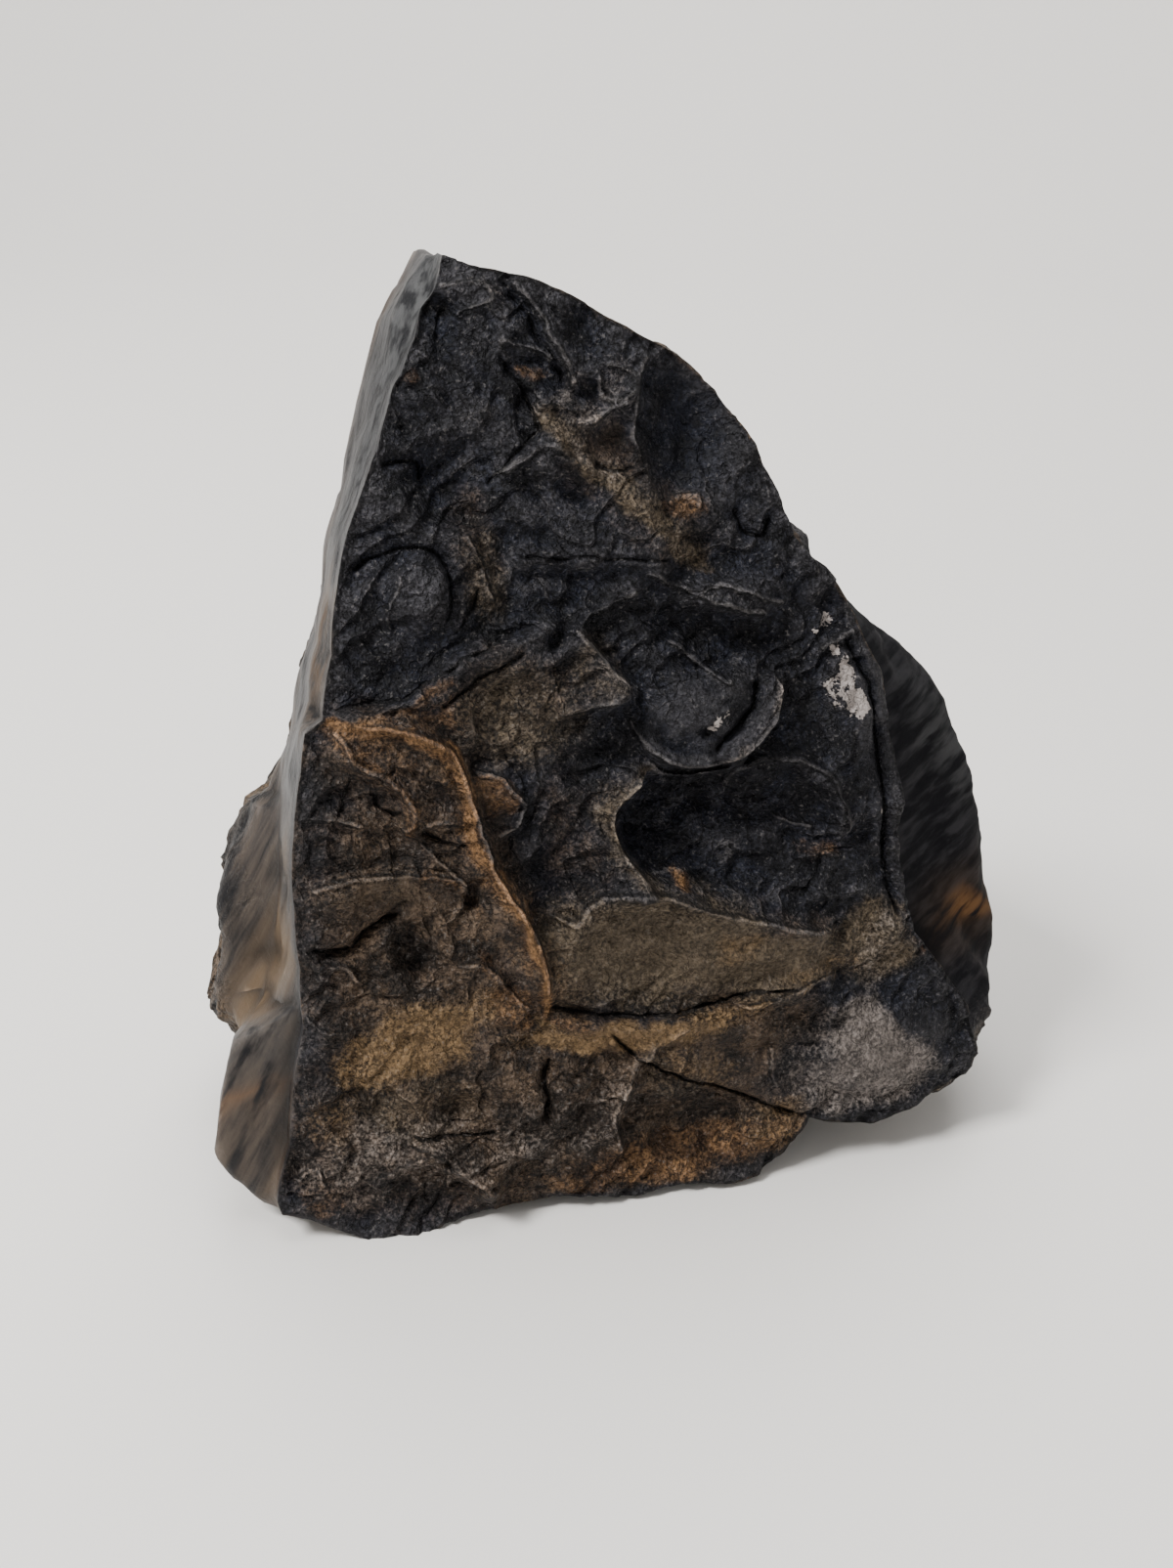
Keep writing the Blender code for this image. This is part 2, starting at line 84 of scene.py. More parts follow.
# Outlines with the depth each lies at.
sections = [
    (0.0, frontOutline), (3.5, frontOutline),
    (9, [
        (-21, 79.8), (-15, 77.3), (-10, 75.5), (-5, 73.8), (0, 71.8), (10, 66.5), (20, 61),
        (25.5, 56.5), (30.5, 47), (36, 36), (41.5, 30), (47, 22.6), (50.5, 20.5), (56, 15),
        (59.5, 7), (61.5, -4), (64, -16), (66, -27), (69, -36), (74, -43), (79.2, -49),
        (79.4, -55), (78, -60.5), (77, -64), (74, -67), (68, -69.5), (61, -71), (54, -71.5),
        (48, -70), (43, -69), (39.8, -69.5), (36, -73), (31, -75), (24, -75.5), (12, -75.8),
        (0, -75.6), (-15, -75.8), (-30, -77.5), (-40, -76.8), (-48, -75.5), (-54, -74.5),
        (-57.4, -72), (-60.6, -68.2), (-63.4, -63.5), (-62.6, -58), (-61.2, -51.5), (-59, -43.8),
        (-55, -41.2), (-50.5, -38.5), (-48.9, -31), (-48.6, -20), (-47.6, -5), (-45.6, 7),
        (-43.5, 12), (-41.3, 21), (-39.6, 29), (-35.3, 43.6), (-31.2, 54.6), (-28.3, 63.5),
        (-27.2, 70), (-24.3, 75.8)]),
    (20, [
        (-20.8, 81.4), (-9, 76.6), (2, 72), (14, 65), (24, 58.5), (31, 52.5), (37, 42), (42, 33),
        (50, 24.5), (57.6, 19.2), (62.6, 16.2), (67.5, 12.3), (70.6, 7.6), (73.7, 2.5),
        (75.4, -2.4), (78.6, -10.1), (81.6, -19.8), (82.6, -27.5), (82.8, -34.3), (84.4, -38.4),
        (84.2, -45.4), (83, -51), (79, -57), (70, -61), (59, -64), (48, -66), (38, -69),
        (28, -71), (14, -73.4), (-8, -75.2), (-22, -75.6), (-38, -75), (-50, -71), (-57, -66),
        (-60, -60), (-59.5, -53), (-56.6, -46.5), (-53.5, -41.5), (-50, -33), (-48.9, -20),
        (-47.6, -5), (-44.6, 6.2), (-43.6, 13.4), (-40.6, 22), (-39.4, 28.7), (-34.6, 44.3),
        (-32, 55.1), (-29.2, 65.8), (-27.8, 70.6), (-23.8, 76.4)]),
    (30, [
        (-19, 80), (-7, 75), (7, 69), (20, 61), (31, 52), (40, 40), (48, 30), (56, 22), (65, 15),
        (71.5, 10), (76, 3), (79.5, -6), (83, -16), (85.4, -27), (86.8, -37), (85.4, -46),
        (79.4, -53), (68, -59), (52, -64), (36, -67.5), (20, -71.6), (0, -74), (-18, -74),
        (-34, -71.5), (-44, -69), (-50.5, -63), (-54, -56), (-56.6, -49), (-59.6, -45.6),
        (-60.2, -40), (-59.3, -33), (-58.6, -25), (-56.4, -18.5), (-53.6, -14), (-51.8, -9),
        (-48, -6.5), (-44.4, 3), (-42, 12.5), (-37.8, 27.7), (-32.6, 43.9), (-29.6, 55.1),
        (-25.2, 69)]),
    (42, [
        (-12, 74), (0, 72), (14, 64), (30, 53), (42, 40), (52, 28), (61, 19), (69, 10), (75, -2),
        (79, -14), (83, -27), (85, -37), (81, -47), (71, -54), (57, -59), (42, -64.5), (28, -67),
        (14, -71.2), (-8, -72.6), (-24, -71), (-38, -66), (-48, -60.5), (-53.5, -55),
        (-57, -51.5), (-60, -49), (-60.6, -43), (-59.4, -36), (-58.4, -27), (-55.8, -21),
        (-52.6, -17), (-51, -11), (-47, -8), (-43, -2), (-40, 9), (-35.5, 27), (-29.5, 44),
        (-24, 56), (-18, 67)]),
    (60, [
        (-10, 60), (10, 60), (30, 48), (48, 30), (62, 12), (72, -8), (77, -28), (76, -42),
        (64, -51), (46, -59), (28, -66), (8, -69), (-12, -67), (-30, -61), (-46, -52), (-56, -42),
        (-55, -28), (-48, -16), (-40, 0), (-33, 24), (-22, 46)]),
    (78, [
        (-8, 44), (10, 46), (28, 36), (44, 18), (56, 2), (64, -16), (66, -32), (58, -44),
        (38, -52), (12, -55), (-14, -54), (-34, -48), (-44, -38), (-42, -22), (-34, -4),
        (-24, 22)]),
]

# Broken faces of the back: outward normal and a point on the face, both as (s, t, w).
cleaves = [
    ((-0.05, 0.55, 0.83), (0, 76, 27)), ((0.42, 0.5, 0.76), (30, 52, 40)),
    ((-0.5, 0.3, 0.81), (-36, 22, 50)), ((0.8, 0.1, 0.59), (72, -10, 56)),
    ((0.3, -0.62, 0.72), (40, -52, 64)), ((-0.55, -0.35, 0.76), (-46, -44, 62)),
    ((0.1, 0.05, 0.99), (0, -10, 79)),
]

# Shell shaped scars: centre of the ball that bit the stone, and its radius.
scars = [
    ((34, 40, 92), 42), ((-34, -2, 108), 44), ((18, -30, 116), 42), ((-70, 20, 84), 40),
    ((84, 12, 74), 26), ((-20, -78, 92), 32), ((92, -62, 44), 22), ((8, 78, 76), 40),
    ((-62, -70, 66), 20), ((60, -30, 104), 36),
]

# Main ridges and ledges: height, reach to the left of the path, reach to its right, path.
mainRidges = [
    (4.2, 1.6, 8, [(-36, 9), (-30, 8.5), (-25, 5.5), (-22, 1), (-20, -5.5), (-17, -13), (-13, -21),
        (-10, -29), (-8.2, -38), (-8, -42)]),
    (3.8, 1.3, 11, [(-44, 10.3), (-37, 11), (-29, 12), (-26, 14), (-23, 17), (-19, 19.5), (-13, 20),
        (-7, 22.5), (-2, 22.5)]),
    (4.4, 1.6, 9, [(-3, 23.2), (0, 20), (2, 17.3), (4.8, 14), (7, 12.5)]),
    (2, 1.2, 4.5, [(7.5, 12.7), (5.8, 11), (2.5, 10.3), (-6, 9)]),
    (3.2, 2.2, 7, [(0, -10), (3, -14), (5.5, -17), (9, -21), (11, -22.8)]),
    (2.2, 2, 3, [(10, -3), (6, -6.5), (3.4, -9.5), (4, -12), (4.5, -14)]),
    (4.4, 2.4, 13, [(-10, -23.5), (-3, -27), (-1.7, -24.5), (2.3, -21.5), (11, -22.5), (19, -25.5),
        (27.5, -28.8), (35.5, -31), (43.5, -33), (48, -30.5)]),
    (2.8, 1.3, 11, [(-11, -41.6), (-4, -43.5), (4, -45), (16.5, -44.8), (24.5, -43.5),
        (31.5, -41.5), (41, -42.5)]),
    (3.2, 6, 5, [(-5, 54), (-2, 49), (5, 44), (11, 38), (19, 31.5)]),
    (2.8, 6, 1.8, [(-13, 34), (-8, 33), (0, 33), (6, 32.5), (16, 31.3)]),
    (2.2, 4, 1.6, [(14, 23), (18, 25.5), (24, 25.5), (28, 23.5), (33, 23)]),
    (3, 7, 2, [(-33, -61.5), (-27.5, -64), (-24.5, -67), (-20, -72), (-15, -75)]),
    (2.4, 3.5, 1.4, [(-41, 8), (-39, 3.5), (-34, 1), (-30.5, -2), (-29, -6), (-31, -10)]),
    (1.8, 1.6, 4, [(-46, -19), (-37, -16), (-30, -15.5), (-22, -17.5)]),
    (-1.6, 1.2, 1.2, [(-46, -29), (-39, -27), (-34, -23.5), (-30, -20)]),
    (-0.8, 1.4, 1.4, [(-12, 77), (-10, 73), (-7, 68.5), (-5, 62), (-4.5, 59)]),
    (-1, 0.9, 0.9, [(1.5, -44.8), (7, -51.8), (14.5, -57), (25, -62), (39.8, -68)]),
    (-1.8, 1.4, 1.4, [(-8, -50.5), (-8.8, -54), (-8.2, -57), (-9.5, -61)]),
    (1.8, 1.5, 5, [(6, -51.5), (6.2, -55), (4.5, -59.5), (2.3, -65.3), (4, -70)]),
    (2.4, 1.5, 1.8, [(30, -1), (35, -2.5), (41.5, -8), (44, -12), (46, -19)]),
]

# Bowls (negative) and swellings (positive): height, centre, half sizes, turn in degrees.
mainHollows = [
    (-5.5, (22, -13), (24, 12), -12), (-4.5, (19, 54), (10, 13), -20), (-2.5, (5, 51), (5, 4), 30),
    (4.5, (20, 6.5), (13, 9), 12), (2.4, (-26, 29), (5, 7), 0), (-4, (-29, -29.5), (5.5, 6.5), 20),
    (-1.6, (-20, -20.5), (2, 2.8), 0), (2, (-46, -28.5), (3.5, 2.5), 0),
    (-2.4, (-21, 70), (5, 7), 20), (-1.6, (-12, 12), (10, 5), 20), (-3, (22, 20), (14, 6), 0),
    (-3.5, (-20, 45), (9, 8), 0), (-2.6, (-4, -17), (7, 6), 0), (-3, (20, -66), (12, 8), 10),
    (2.6, (-10, -55), (10, 7), 0), (-2.4, (-24, -58), (6, 4), 20), (2.2, (46, 8), (7, 12), 0),
    (2.6, (54, -56), (14, 9), 10),
]

# Finer broken edges, flakes and cracks of the front, in the same four columns as the main ridges.
fineEdges = {
    "tipFlake": (0.7, 0.6, 3, [(-21.4, 74.4), (-16.5, 75.6), (-12.1, 73.2)]),
    "tipFlakeFoot": (0.7, 0.6, 3.5, [(-12.1, 73.2), (-12.9, 72.5), (-16.7, 71.1), (-18.9, 69.8)]),
    "tipGroove": (-0.6, 0.6, 0.6, [(-12.2, 76.1), (-9.6, 73.3), (-6.5, 69.4), (-6.3, 67.1),
        (-3.9, 64.5), (-2.3, 61.4), (-2.1, 58.2)]),
    "tipPlateau": (1.4, 6, 0.8, [(-10.5, 76), (-8, 73), (-5.2, 69.4), (-5, 67.1), (-2.6, 64.5),
        (-1.1, 61.4), (-1, 58.2)]),
    "upperFlake": (1.2, 3, 0.8, [(-13.1, 66.2), (-8.2, 65.6), (-5.5, 64.8), (-3.7, 62.9)]),
    "upperFold": (-1, 0.6, 0.6, [(-13.2, 65.1), (-11.1, 62.5), (-8.5, 59.4), (-6.9, 56.2),
        (-6.2, 53), (-8.2, 51.5), (-11, 48.9), (-13.9, 45.8), (-15.3, 43.8)]),
    "upperFoldLip": (1.2, 2.8, 0.8, [(-14.4, 45.9), (-9.4, 48.4), (-5.9, 50.9), (-2.6, 49.7)]),
    "ringLump": (0.9, 1, 1, [(3.6, 62.3), (5.6, 62.8), (8.9, 61.2), (9.2, 59), (6.5, 57.2),
        (3.6, 58.6), (3.6, 62.3)]),
    "paleVein": (0.9, 1, 1, [(-1.4, 54), (2, 53.9), (4.8, 55.9), (8.8, 56.9)]),
    "smoothScoopRim": (1, 0.8, 3.4, [(12.4, 64.8), (10.1, 61.1), (10, 56.9), (8.8, 52.6),
        (9.3, 50.5), (11, 48.3)]),
    "smallScoopRim": (-0.9, 0.7, 0.7, [(1.3, 47.5), (6.4, 46.3), (9.2, 47)]),
    "brownFlake": (1.3, 0.7, 3.2, [(13.2, 41.1), (16.1, 42.4), (19.7, 42.5), (19, 39.8)]),
    "edgeNick": (-1.2, 0.8, 0.8, [(25.6, 40.7), (27.4, 36.1), (31, 34.9), (31.9, 38.7)]),
    "domeArc": (-1.1, 0.6, 0.6, [(-38.8, 32), (-32.9, 34.4), (-28.5, 35.8), (-24.1, 35.6),
        (-21.5, 32.8), (-21.2, 27.9), (-23.1, 22.5)]),
    "domeCrease": (0.7, 1, 0.6, [(-29.2, 32.6), (-29.9, 29.4), (-31.7, 25.7), (-30.8, 22.4)]),
    "domeFoot": (0.6, 0.8, 1.6, [(-36.1, 23.8), (-34.7, 19.9), (-31.6, 17)]),
    "oliveSeam": (-0.8, 0.7, 0.7, [(-16.7, 29.8), (-18, 25.5), (-21.4, 21.9)]),
    "oliveLump": (1.3, 1.2, 2.4, [(-18.6, 38), (-16.8, 34.5), (-15.6, 30.5), (-14.6, 26.5)]),
    "blockEdge": (-1.3, 0.8, 0.8, [(-31.5, 48.2), (-29, 49), (-25, 48.8), (-24.8, 45.4)]),
    "leftLedgeCrack": (-1.1, 0.5, 0.7, [(-12.5, 22.5), (-14.8, 20.4), (-20.5, 18.5), (-25, 15.5),
        (-30.1, 12.5), (-41.6, 11.4)]),
    "slantCrack": (-0.9, 0.5, 0.5, [(-24.5, 10.5), (-22, 12), (-18, 15), (-13, 17.5), (-10, 19.6)]),
    "hRise": (0.9, 3, 0.7, [(-1.7, 22.4), (2.5, 25), (6, 26.5), (8.9, 28)]),
    "hFoot": (1.1, 0.7, 2.2, [(7.4, 12.6), (4.5, 10.8), (0, 9.6), (-6, 8.6)]),
    "hEdge": (1.6, 0.6, 2.4, [(-2.6, 22.8), (0, 20.2), (2, 17.5), (4.8, 14.1), (7.2, 12.5)]),
    "beak": (1.4, 2.6, 0.8, [(13.6, 19.3), (18.6, 15.6), (22.9, 11.6), (23.8, 13.4)]),
    "rightShelf": (1.3, 2.6, 1, [(9, 30.8), (14.2, 28.3), (22.5, 24.5), (31.6, 22.3)]),
    "rightShelfUpper": (1.1, 2.4, 0.9, [(17.2, 26.2), (22.3, 28), (29.5, 25.4), (35, 24)]),
    "centreCrease": (-1, 0.6, 0.6, [(-12, 34.4), (-6, 33.2), (0, 33.4), (6, 32.9), (16, 31.9)]),
    "brownCrest": (1.5, 0.8, 1.2, [(-40.3, 9.4), (-34, 9.2), (-29, 8.2), (-24.6, 5.9), (-22.7, 4.5),
        (-21.2, 0.4), (-20.1, -3.6), (-18.6, -9.1), (-17.1, -14), (-15, -19), (-12.4, -22.7),
        (-10.2, -27.1), (-9.2, -30.7), (-8.4, -35.7), (-8, -40.7)]),
    "curlRim": (1.3, 2, 0.8, [(-41.6, 9.1), (-39.3, 6.4), (-38.2, 3.1), (-34.4, 1.5), (-31.4, -1.4),
        (-29.3, -4.9), (-29.7, -7.5), (-31.8, -9.3)]),
    "curlInside": (-1, 0.6, 0.8, [(-34.6, -1.8), (-35, -3.7), (-33.5, -5.1), (-31.6, -5.6),
        (-30.9, -4.7)]),
    "curlFoot": (-0.7, 0.6, 0.6, [(-38.3, 1.1), (-39.1, -2), (-40.5, -5.2)]),
    "leftStep": (1.1, 2.2, 0.8, [(-47.5, -5.6), (-44.3, -5.5), (-40.6, -6.2), (-36.2, -7.6)]),
    "ribUpper": (1, 1.8, 0.7, [(-27.8, -7.3), (-23.8, -7.3), (-20.6, -7.9)]),
    "ribGap": (-1.1, 0.7, 0.7, [(-27.8, -8.3), (-25.9, -10.1), (-20.7, -11.3)]),
    "ribLower": (0.8, 0.8, 1.6, [(-28.5, -9.6), (-25.4, -13.9), (-21, -17.7), (-19.2, -22.7)]),
    "fan": (1, 0.9, 3.5, [(-46.9, -17.1), (-38.5, -15.3), (-30.1, -15.6), (-24.2, -16.7),
        (-21, -17.7)]),
    "thumbFlake": (1.6, 0.8, 4, [(-19.6, 0.3), (-14.7, -0.4), (-9.8, -6.2), (-12.6, -9.6),
        (-16, -11.4)]),
    "leftCrevice": (-1.7, 0.9, 1.3, [(-47.5, -26.5), (-43.1, -28), (-39.2, -27.4), (-36.4, -24.3),
        (-33.8, -23.2), (-30.5, -22.9)]),
    "ochreLip": (1.6, 0.8, 5, [(-23.6, -31.9), (-18.8, -31), (-16.9, -34), (-13.6, -37.9),
        (-10.2, -41.2)]),
    "bandCrest": (1, 0.6, 2, [(-10, -23.6), (-7, -24.6), (-2.9, -26.4), (-2.1, -23.7), (1.4, -20.9),
        (7, -20.8), (10.5, -21.8), (16.7, -24.5), (24.9, -27.6), (34.1, -30.4), (41.1, -32.3),
        (45, -32.7)]),
    "bandFoot": (-1.3, 0.5, 0.5, [(-9.6, -40.6), (-4.7, -41.6), (0.9, -43.3), (8, -44.1),
        (15.2, -44), (22.6, -43.4), (30, -41.7), (38, -42)]),
    "bandShelf": (1, 1, 2.6, [(24.9, -44.1), (31.8, -43), (38.8, -41.5), (45.1, -40.7)]),
    "thinCrack": (-1.2, 0.42, 0.42, [(1.2, -44.3), (4.4, -48.7), (8.6, -52.2), (15.1, -56),
        (22.5, -59.6), (30, -63.3), (39.8, -67.9)]),
    "lobeGroove": (-1.7, 0.9, 0.9, [(-7.7, -49.4), (-8.9, -53.6), (-8, -58.1), (-9.4, -59.4)]),
    "lobeCrest": (1.2, 1, 1.8, [(10.8, -49.5), (5.7, -52.6), (4.9, -56.9), (2.6, -61.8), (4, -65.7),
        (4.3, -70.3)]),
    "lowCrest": (1.2, 2, 0.8, [(-32.9, -60.8), (-27.6, -63), (-24.3, -66.8), (-21, -70.2),
        (-16.9, -73.1)]),
    "lowGap": (-1.5, 0.8, 0.8, [(-32.2, -60.5), (-24.8, -61.9), (-16.5, -62.4)]),
    "lowFacet": (1, 0.8, 2, [(-38.8, -69.7), (-36.6, -67.1), (-29, -63.2)]),
    "lowRib": (0.9, 0.9, 0.9, [(-26.3, -65.7), (-25.9, -71.7)]),
    "cornerFlake": (0.9, 0.7, 1.8, [(-51.3, -67.1), (-47.1, -64.1), (-46.1, -68.6)]),
    "leftLowStep": (1, 0.8, 2.2, [(-48.2, -37.3), (-45.8, -40.3), (-43.2, -41.3), (-39.9, -41.4)]),
    "nubFacet": (1.1, 0.7, 2, [(-45.3, -32.8), (-44.5, -29.5), (-40.6, -29.9), (-38.2, -33.6)]),
    "noduleRim": (1.8, 2.2, 0.8, [(7, 9), (7.2, 6), (9.4, 2.3), (12.6, -0.4), (16.2, -1.6),
        (21.4, -1.4), (25.8, 0.4), (29.5, 3.6), (32.5, 7.7), (33.1, 11.2), (31, 13.8)]),
    "rollInside": (-1.3, 0.8, 0.8, [(20.4, 0.6), (22.4, 3.2), (25.6, 5.4), (28, 8.6),
        (28.4, 12.4)]),
    "underRim": (1.3, 0.6, 1.5, [(9.4, 0.4), (11.9, -2.3), (15.5, -3.7), (22.1, -3), (25, -1.9)]),
    "bowlRim": (1.9, 3, 0.9, [(25, -8.2), (24.3, -5.2), (26.5, -3.3), (31, -1.1), (37, -2.3),
        (41.6, -5.2), (44, -9.8), (45.5, -13.6), (47.1, -17.4)]),
    "elbow": (2.3, 0.8, 4.4, [(10.4, -2), (7.5, -4.6), (3.9, -7.1), (3.1, -9.9), (4.5, -13.5),
        (6.5, -17.3), (9.8, -21.3)]),
    "bowlDome": (1.1, 0.8, 2, [(10.2, -19.1), (16, -19.3), (19, -22.2), (18.9, -25.8)]),
    "bowlLine": (0.8, 0.8, 1, [(32.5, -11.7), (38.6, -14.1), (40.9, -14.7)]),
    "bowlLedge": (0.9, 1.6, 0.7, [(36.3, -19.4), (40.2, -19), (44.8, -19.8)]),
    "dustEdge": (0.9, 1.8, 0.7, [(31, -52.2), (31.8, -58.5), (32.6, -61)]),
    "lobeLine": (0.8, 0.7, 1.4, [(16.5, -45.8), (9.3, -49.8), (5.9, -54.3)]),
    "rimLine": (1.2, 0.8, 1.6, [(39.9, 16.4), (44.4, 18.6), (47, 19.2)]),
    "rimGroove": (-1.6, 0.9, 0.9, [(44.5, 20), (46.5, 15), (49.6, 10), (51, 2), (53, -8),
        (53.4, -18), (55, -28), (57.2, -35)]),
}

# Small pits, lumps and dimples: height, centre, half sizes, turn.
fineSpots = [
    (-1.4, (-21.2, 71), (2.8, 2.4), 10), (-1.3, (19.6, 4.2), (2.3, 1.3), -15),
    (0.9, (22.6, 8.2), (1.2, 1.1), 0), (0.7, (19.4, 6.4), (0.9, 1.3), 0),
    (-1.9, (20.9, -9.3), (2.7, 2.5), 0), (-1.6, (6.6, -13), (2.8, 3.4), 20),
    (1.1, (14.6, -22.3), (4.2, 2.6), -20), (-1.8, (-19.7, -19.9), (1.7, 3.4), -12),
    (0.9, (0.2, -47.2), (1.3, 1), 0), (0.8, (2.6, -47.6), (1, 0.9), 0),
    (0.8, (-8.6, 39.4), (3.4, 1.5), -25), (1.2, (32.4, 4.6), (1.3, 1.3), 0),
    (-1, (-12.6, 25.5), (3, 2), 30), (1, (-30.6, -54), (5, 3), 20),
    (-1.1, (-39.5, -52.8), (2.4, 1.4), -30), (0.9, (-25.8, 61.6), (2.2, 1.6), 20),
    (-1.2, (-9, 57), (2.6, 3.2), 0), (0.9, (27, -35), (5, 2.5), -10), (0.8, (8, -31), (4, 3), 0),
    (-0.9, (44, -50), (4, 3), 0), (0.9, (-24.4, -0.6), (1.8, 1.2), 0),
]

# Rounded rolls: height, half width, path.
rolls = [
    (2, 3, [(22, -1.4), (26.5, 1.6), (30.2, 6), (31.8, 10.5), (30.5, 13.8)]),
    (0.9, 1.6, [(8.6, 3.6), (11.6, 0.8), (16, -0.6), (21, -0.4)]),
    (0.8, 1.5, [(-21, -70), (-16, -66.5), (-10, -66)]),
]

# Where the broken face is smoother than elsewhere: how much, centre, half sizes, turn.
calmPlaces = [
    (0.5, (19, 54), (9, 13), -20), (0.6, (5, 51), (4.5, 3.6), 30), (0.55, (18, -34), (30, 8), -8),
    (0.7, (6, -47), (18, 3.2), -2), (0.55, (20, 6), (12, 8), 10), (0.4, (-28, -45), (11, 7), 10),
    (0.6, (52, 4), (6, 18), 0), (0.5, (52, -56), (14, 9), 10), (0.55, (-12.5, -30), (4, 10), 20),
    (0.55, (-33, -20), (11, 4), -5), (0.45, (28, -55), (12, 8), -25), (0.5, (-15, -4), (4, 5), 0),
]

# Directions of the woody streaks as (s, t, w).
sideStreaks = {"left": (0.05, 0.97, 0.25), "flare": (0.39, 0.86, -0.33),
               "right": (0.70, 0.30, 0.65)}

# Heights of the relief of the broken face, in millimetres.
relief = {
    "swell": 1.4, "swellCentre": (2, -12), "swellSpread": 1800.0, "swellTall": 0.6,
    "bend": 0.9, "lumps": 0.8, "smallLumps": 0.4, "wander": 0.34, "edges": 1.15,
    "ledges": 0.775, "thinLedges": 0.3575, "grit": 0.14, "chipLift": 0.5,
    # size, seed, tilt, turn in degrees, stretch, height
    "chips": [(10.0, 3, 0.28, -40, 1.7, 0.22), (4.6, 5, 0.32, -15, 1.5, 0.30),
              (2.3, 9, 0.36, 25, 1.3, 0.42), (1.2, 21, 0.36, 0, 1.2, 0.40)],
}

# Heights of the relief of the sides and back, in millimetres; chips are shares of their size.
sideRelief = {
    "lumps": 1.3, "smallLumps": 0.8, "grain": 0.24, "fineGrain": 0.10, "knobStreaks": 0.5,
    "leftStreaks": 0.22, "flareStreaks": 0.352, "rightStreaks": 0.24, "rightFolds": 0.5,
    "softLumps": 0.25, "chips": 0.42, "smallChips": 0.36,
}

latticeSize = 24
lattice = np.random.default_rng(1183).random((latticeSize,) * 3) * 2 - 1
turnedAxes = np.array([[0.36, 0.48, -0.80], [-0.80, 0.60, 0.0], [0.48, 0.64, 0.60]])


def smoothNoise(points, size):
    # Random values on a repeating lattice, blended with the cubic 3f^2 - 2f^3; between -1 and 1.
    q = points / size
    cell = np.floor(q).astype(np.int32)
    f = q - cell
    x, y, z = (f * f * (3 - 2 * f)).T
    rows = (latticeSize**2, latticeSize, 1)
    (x0, y0, z0), (x1, y1, z1) = (((cell + k) % latticeSize * rows).T for k in (0, 1))
    flat = lattice.ravel()

    def layer(level):
        near = flat[x0 + y0 + level] * (1 - x) + flat[x1 + y0 + level] * x
        far = flat[x0 + y1 + level] * (1 - x) + flat[x1 + y1 + level] * x
        return near * (1 - y) + far * y

    return layer(z0) * (1 - z) + layer(z1) * z


def fractal(points, size, octaves, gain=0.5):
    # Sum of noises, each half the size and gain times the height, on turned axes so no grid shows.
    total = 0
    for k in range(octaves):
        points = points @ turnedAxes.T + 7.3
        total = total + gain**k * smoothNoise(points, size / 2**k)
    return total


def chipScars(x, y, size, seed, tilt):
    # The lowest of many shallow bowls, one per jittered square, each tipped and set high or low by
    # its own random numbers, so hollows of mixed size meet in sharp crests.
    rng = np.random.default_rng(seed)
    jitter, level = rng.random((64, 64, 2)), rng.random((64, 64)) * relief["chipLift"]
    slope = rng.normal(0, tilt, (64, 64, 2))
    u, v = x / size, y / size
    cu, cv = np.floor(u).astype(int), np.floor(v).astype(int)
    best = np.full(len(u), 9.0)
    for du, dv in np.ndindex(5, 5):
        i, k = (cu + du - 2) % 64, (cv + dv - 2) % 64
        dx, dy = u - cu - du + 2 - jitter[i, k, 0], v - cv - dv + 2 - jitter[i, k, 1]
        bowl = level[i, k] + slope[i, k, 0] * dx + slope[i, k, 1] * dy + 0.6 * (dx * dx + dy * dy)
        best = np.minimum(best, bowl)
    return best * size


def ease(x, low, high):
    # 0 below low, 1 above high and a smooth cubic step between.
    f = np.clip((x - low) / (high - low), 0, 1)
    return f * f * (3 - 2 * f)


def outlineRadius(outline, angle):
    # Distance from the hub to an outline in each direction, straight between its points.
    x, y = (np.array(outline, float) - stoneForm["hub"][:2]).T
    a = np.arctan2(y, x)
    order = np.argsort(a)
    return np.interp(angle, a[order], np.hypot(x, y)[order], period=2 * np.pi)


def formRadius(angle, depth):
    # Outline radius at a depth: a cubic through the sections that never overshoots them.
    w = np.array([d for d, outline in sections])
    r = np.array([outlineRadius(outline, angle) for d, outline in sections])
    rise = np.diff(r, axis=0) / np.diff(w)[:, None]
    slope = np.zeros_like(r)
    same = rise[:-1] * rise[1:] > 0
    both = np.where(same, rise[:-1] + rise[1:], 1.0)
    slope[1:-1] = np.where(same, 2 * rise[:-1] * rise[1:] / both, 0)
    k = np.clip(np.searchsorted(w, depth, side="right") - 1, 0, len(w) - 2)
    gap = w[k + 1] - w[k]
    f = np.clip((depth - w[k]) / gap, 0, 1)
    i = np.arange(len(angle))
    a, b, ma, mb = r[k, i], r[k + 1, i], slope[k, i] * gap, slope[k + 1, i] * gap
    return ((2 * f**3 - 3 * f**2 + 1) * a + (f**3 - 2 * f**2 + f) * ma
            + (3 * f**2 - 2 * f**3) * b + (f**3 - f**2) * mb)


def pathDistance(s, t, path):
    # Nearest distance to a path, the side it is passed on and the share of the path from there to
    # its nearer end.
    best, side, along = np.full(len(s), 1e9), np.zeros(len(s)), np.zeros(len(s))
    p = np.array(path, float)
    runs = np.hypot(*np.diff(p, axis=0).T)
    done = 0.0
    for a, b, run in zip(p[:-1], p[1:], runs):
        u = (b - a) / run
        x, y = s - a[0], t - a[1]
        f = np.clip(x * u[0] + y * u[1], 0, run)
        d = np.hypot(x - f * u[0], y - f * u[1])
        near = d < best
        best = np.where(near, d, best)
        side = np.where(near, np.sign(u[0] * y - u[1] * x), side)
        along = np.where(near, (done + f) / runs.sum(), along)
        done += run
    return best, side, np.minimum(along, 1 - along)


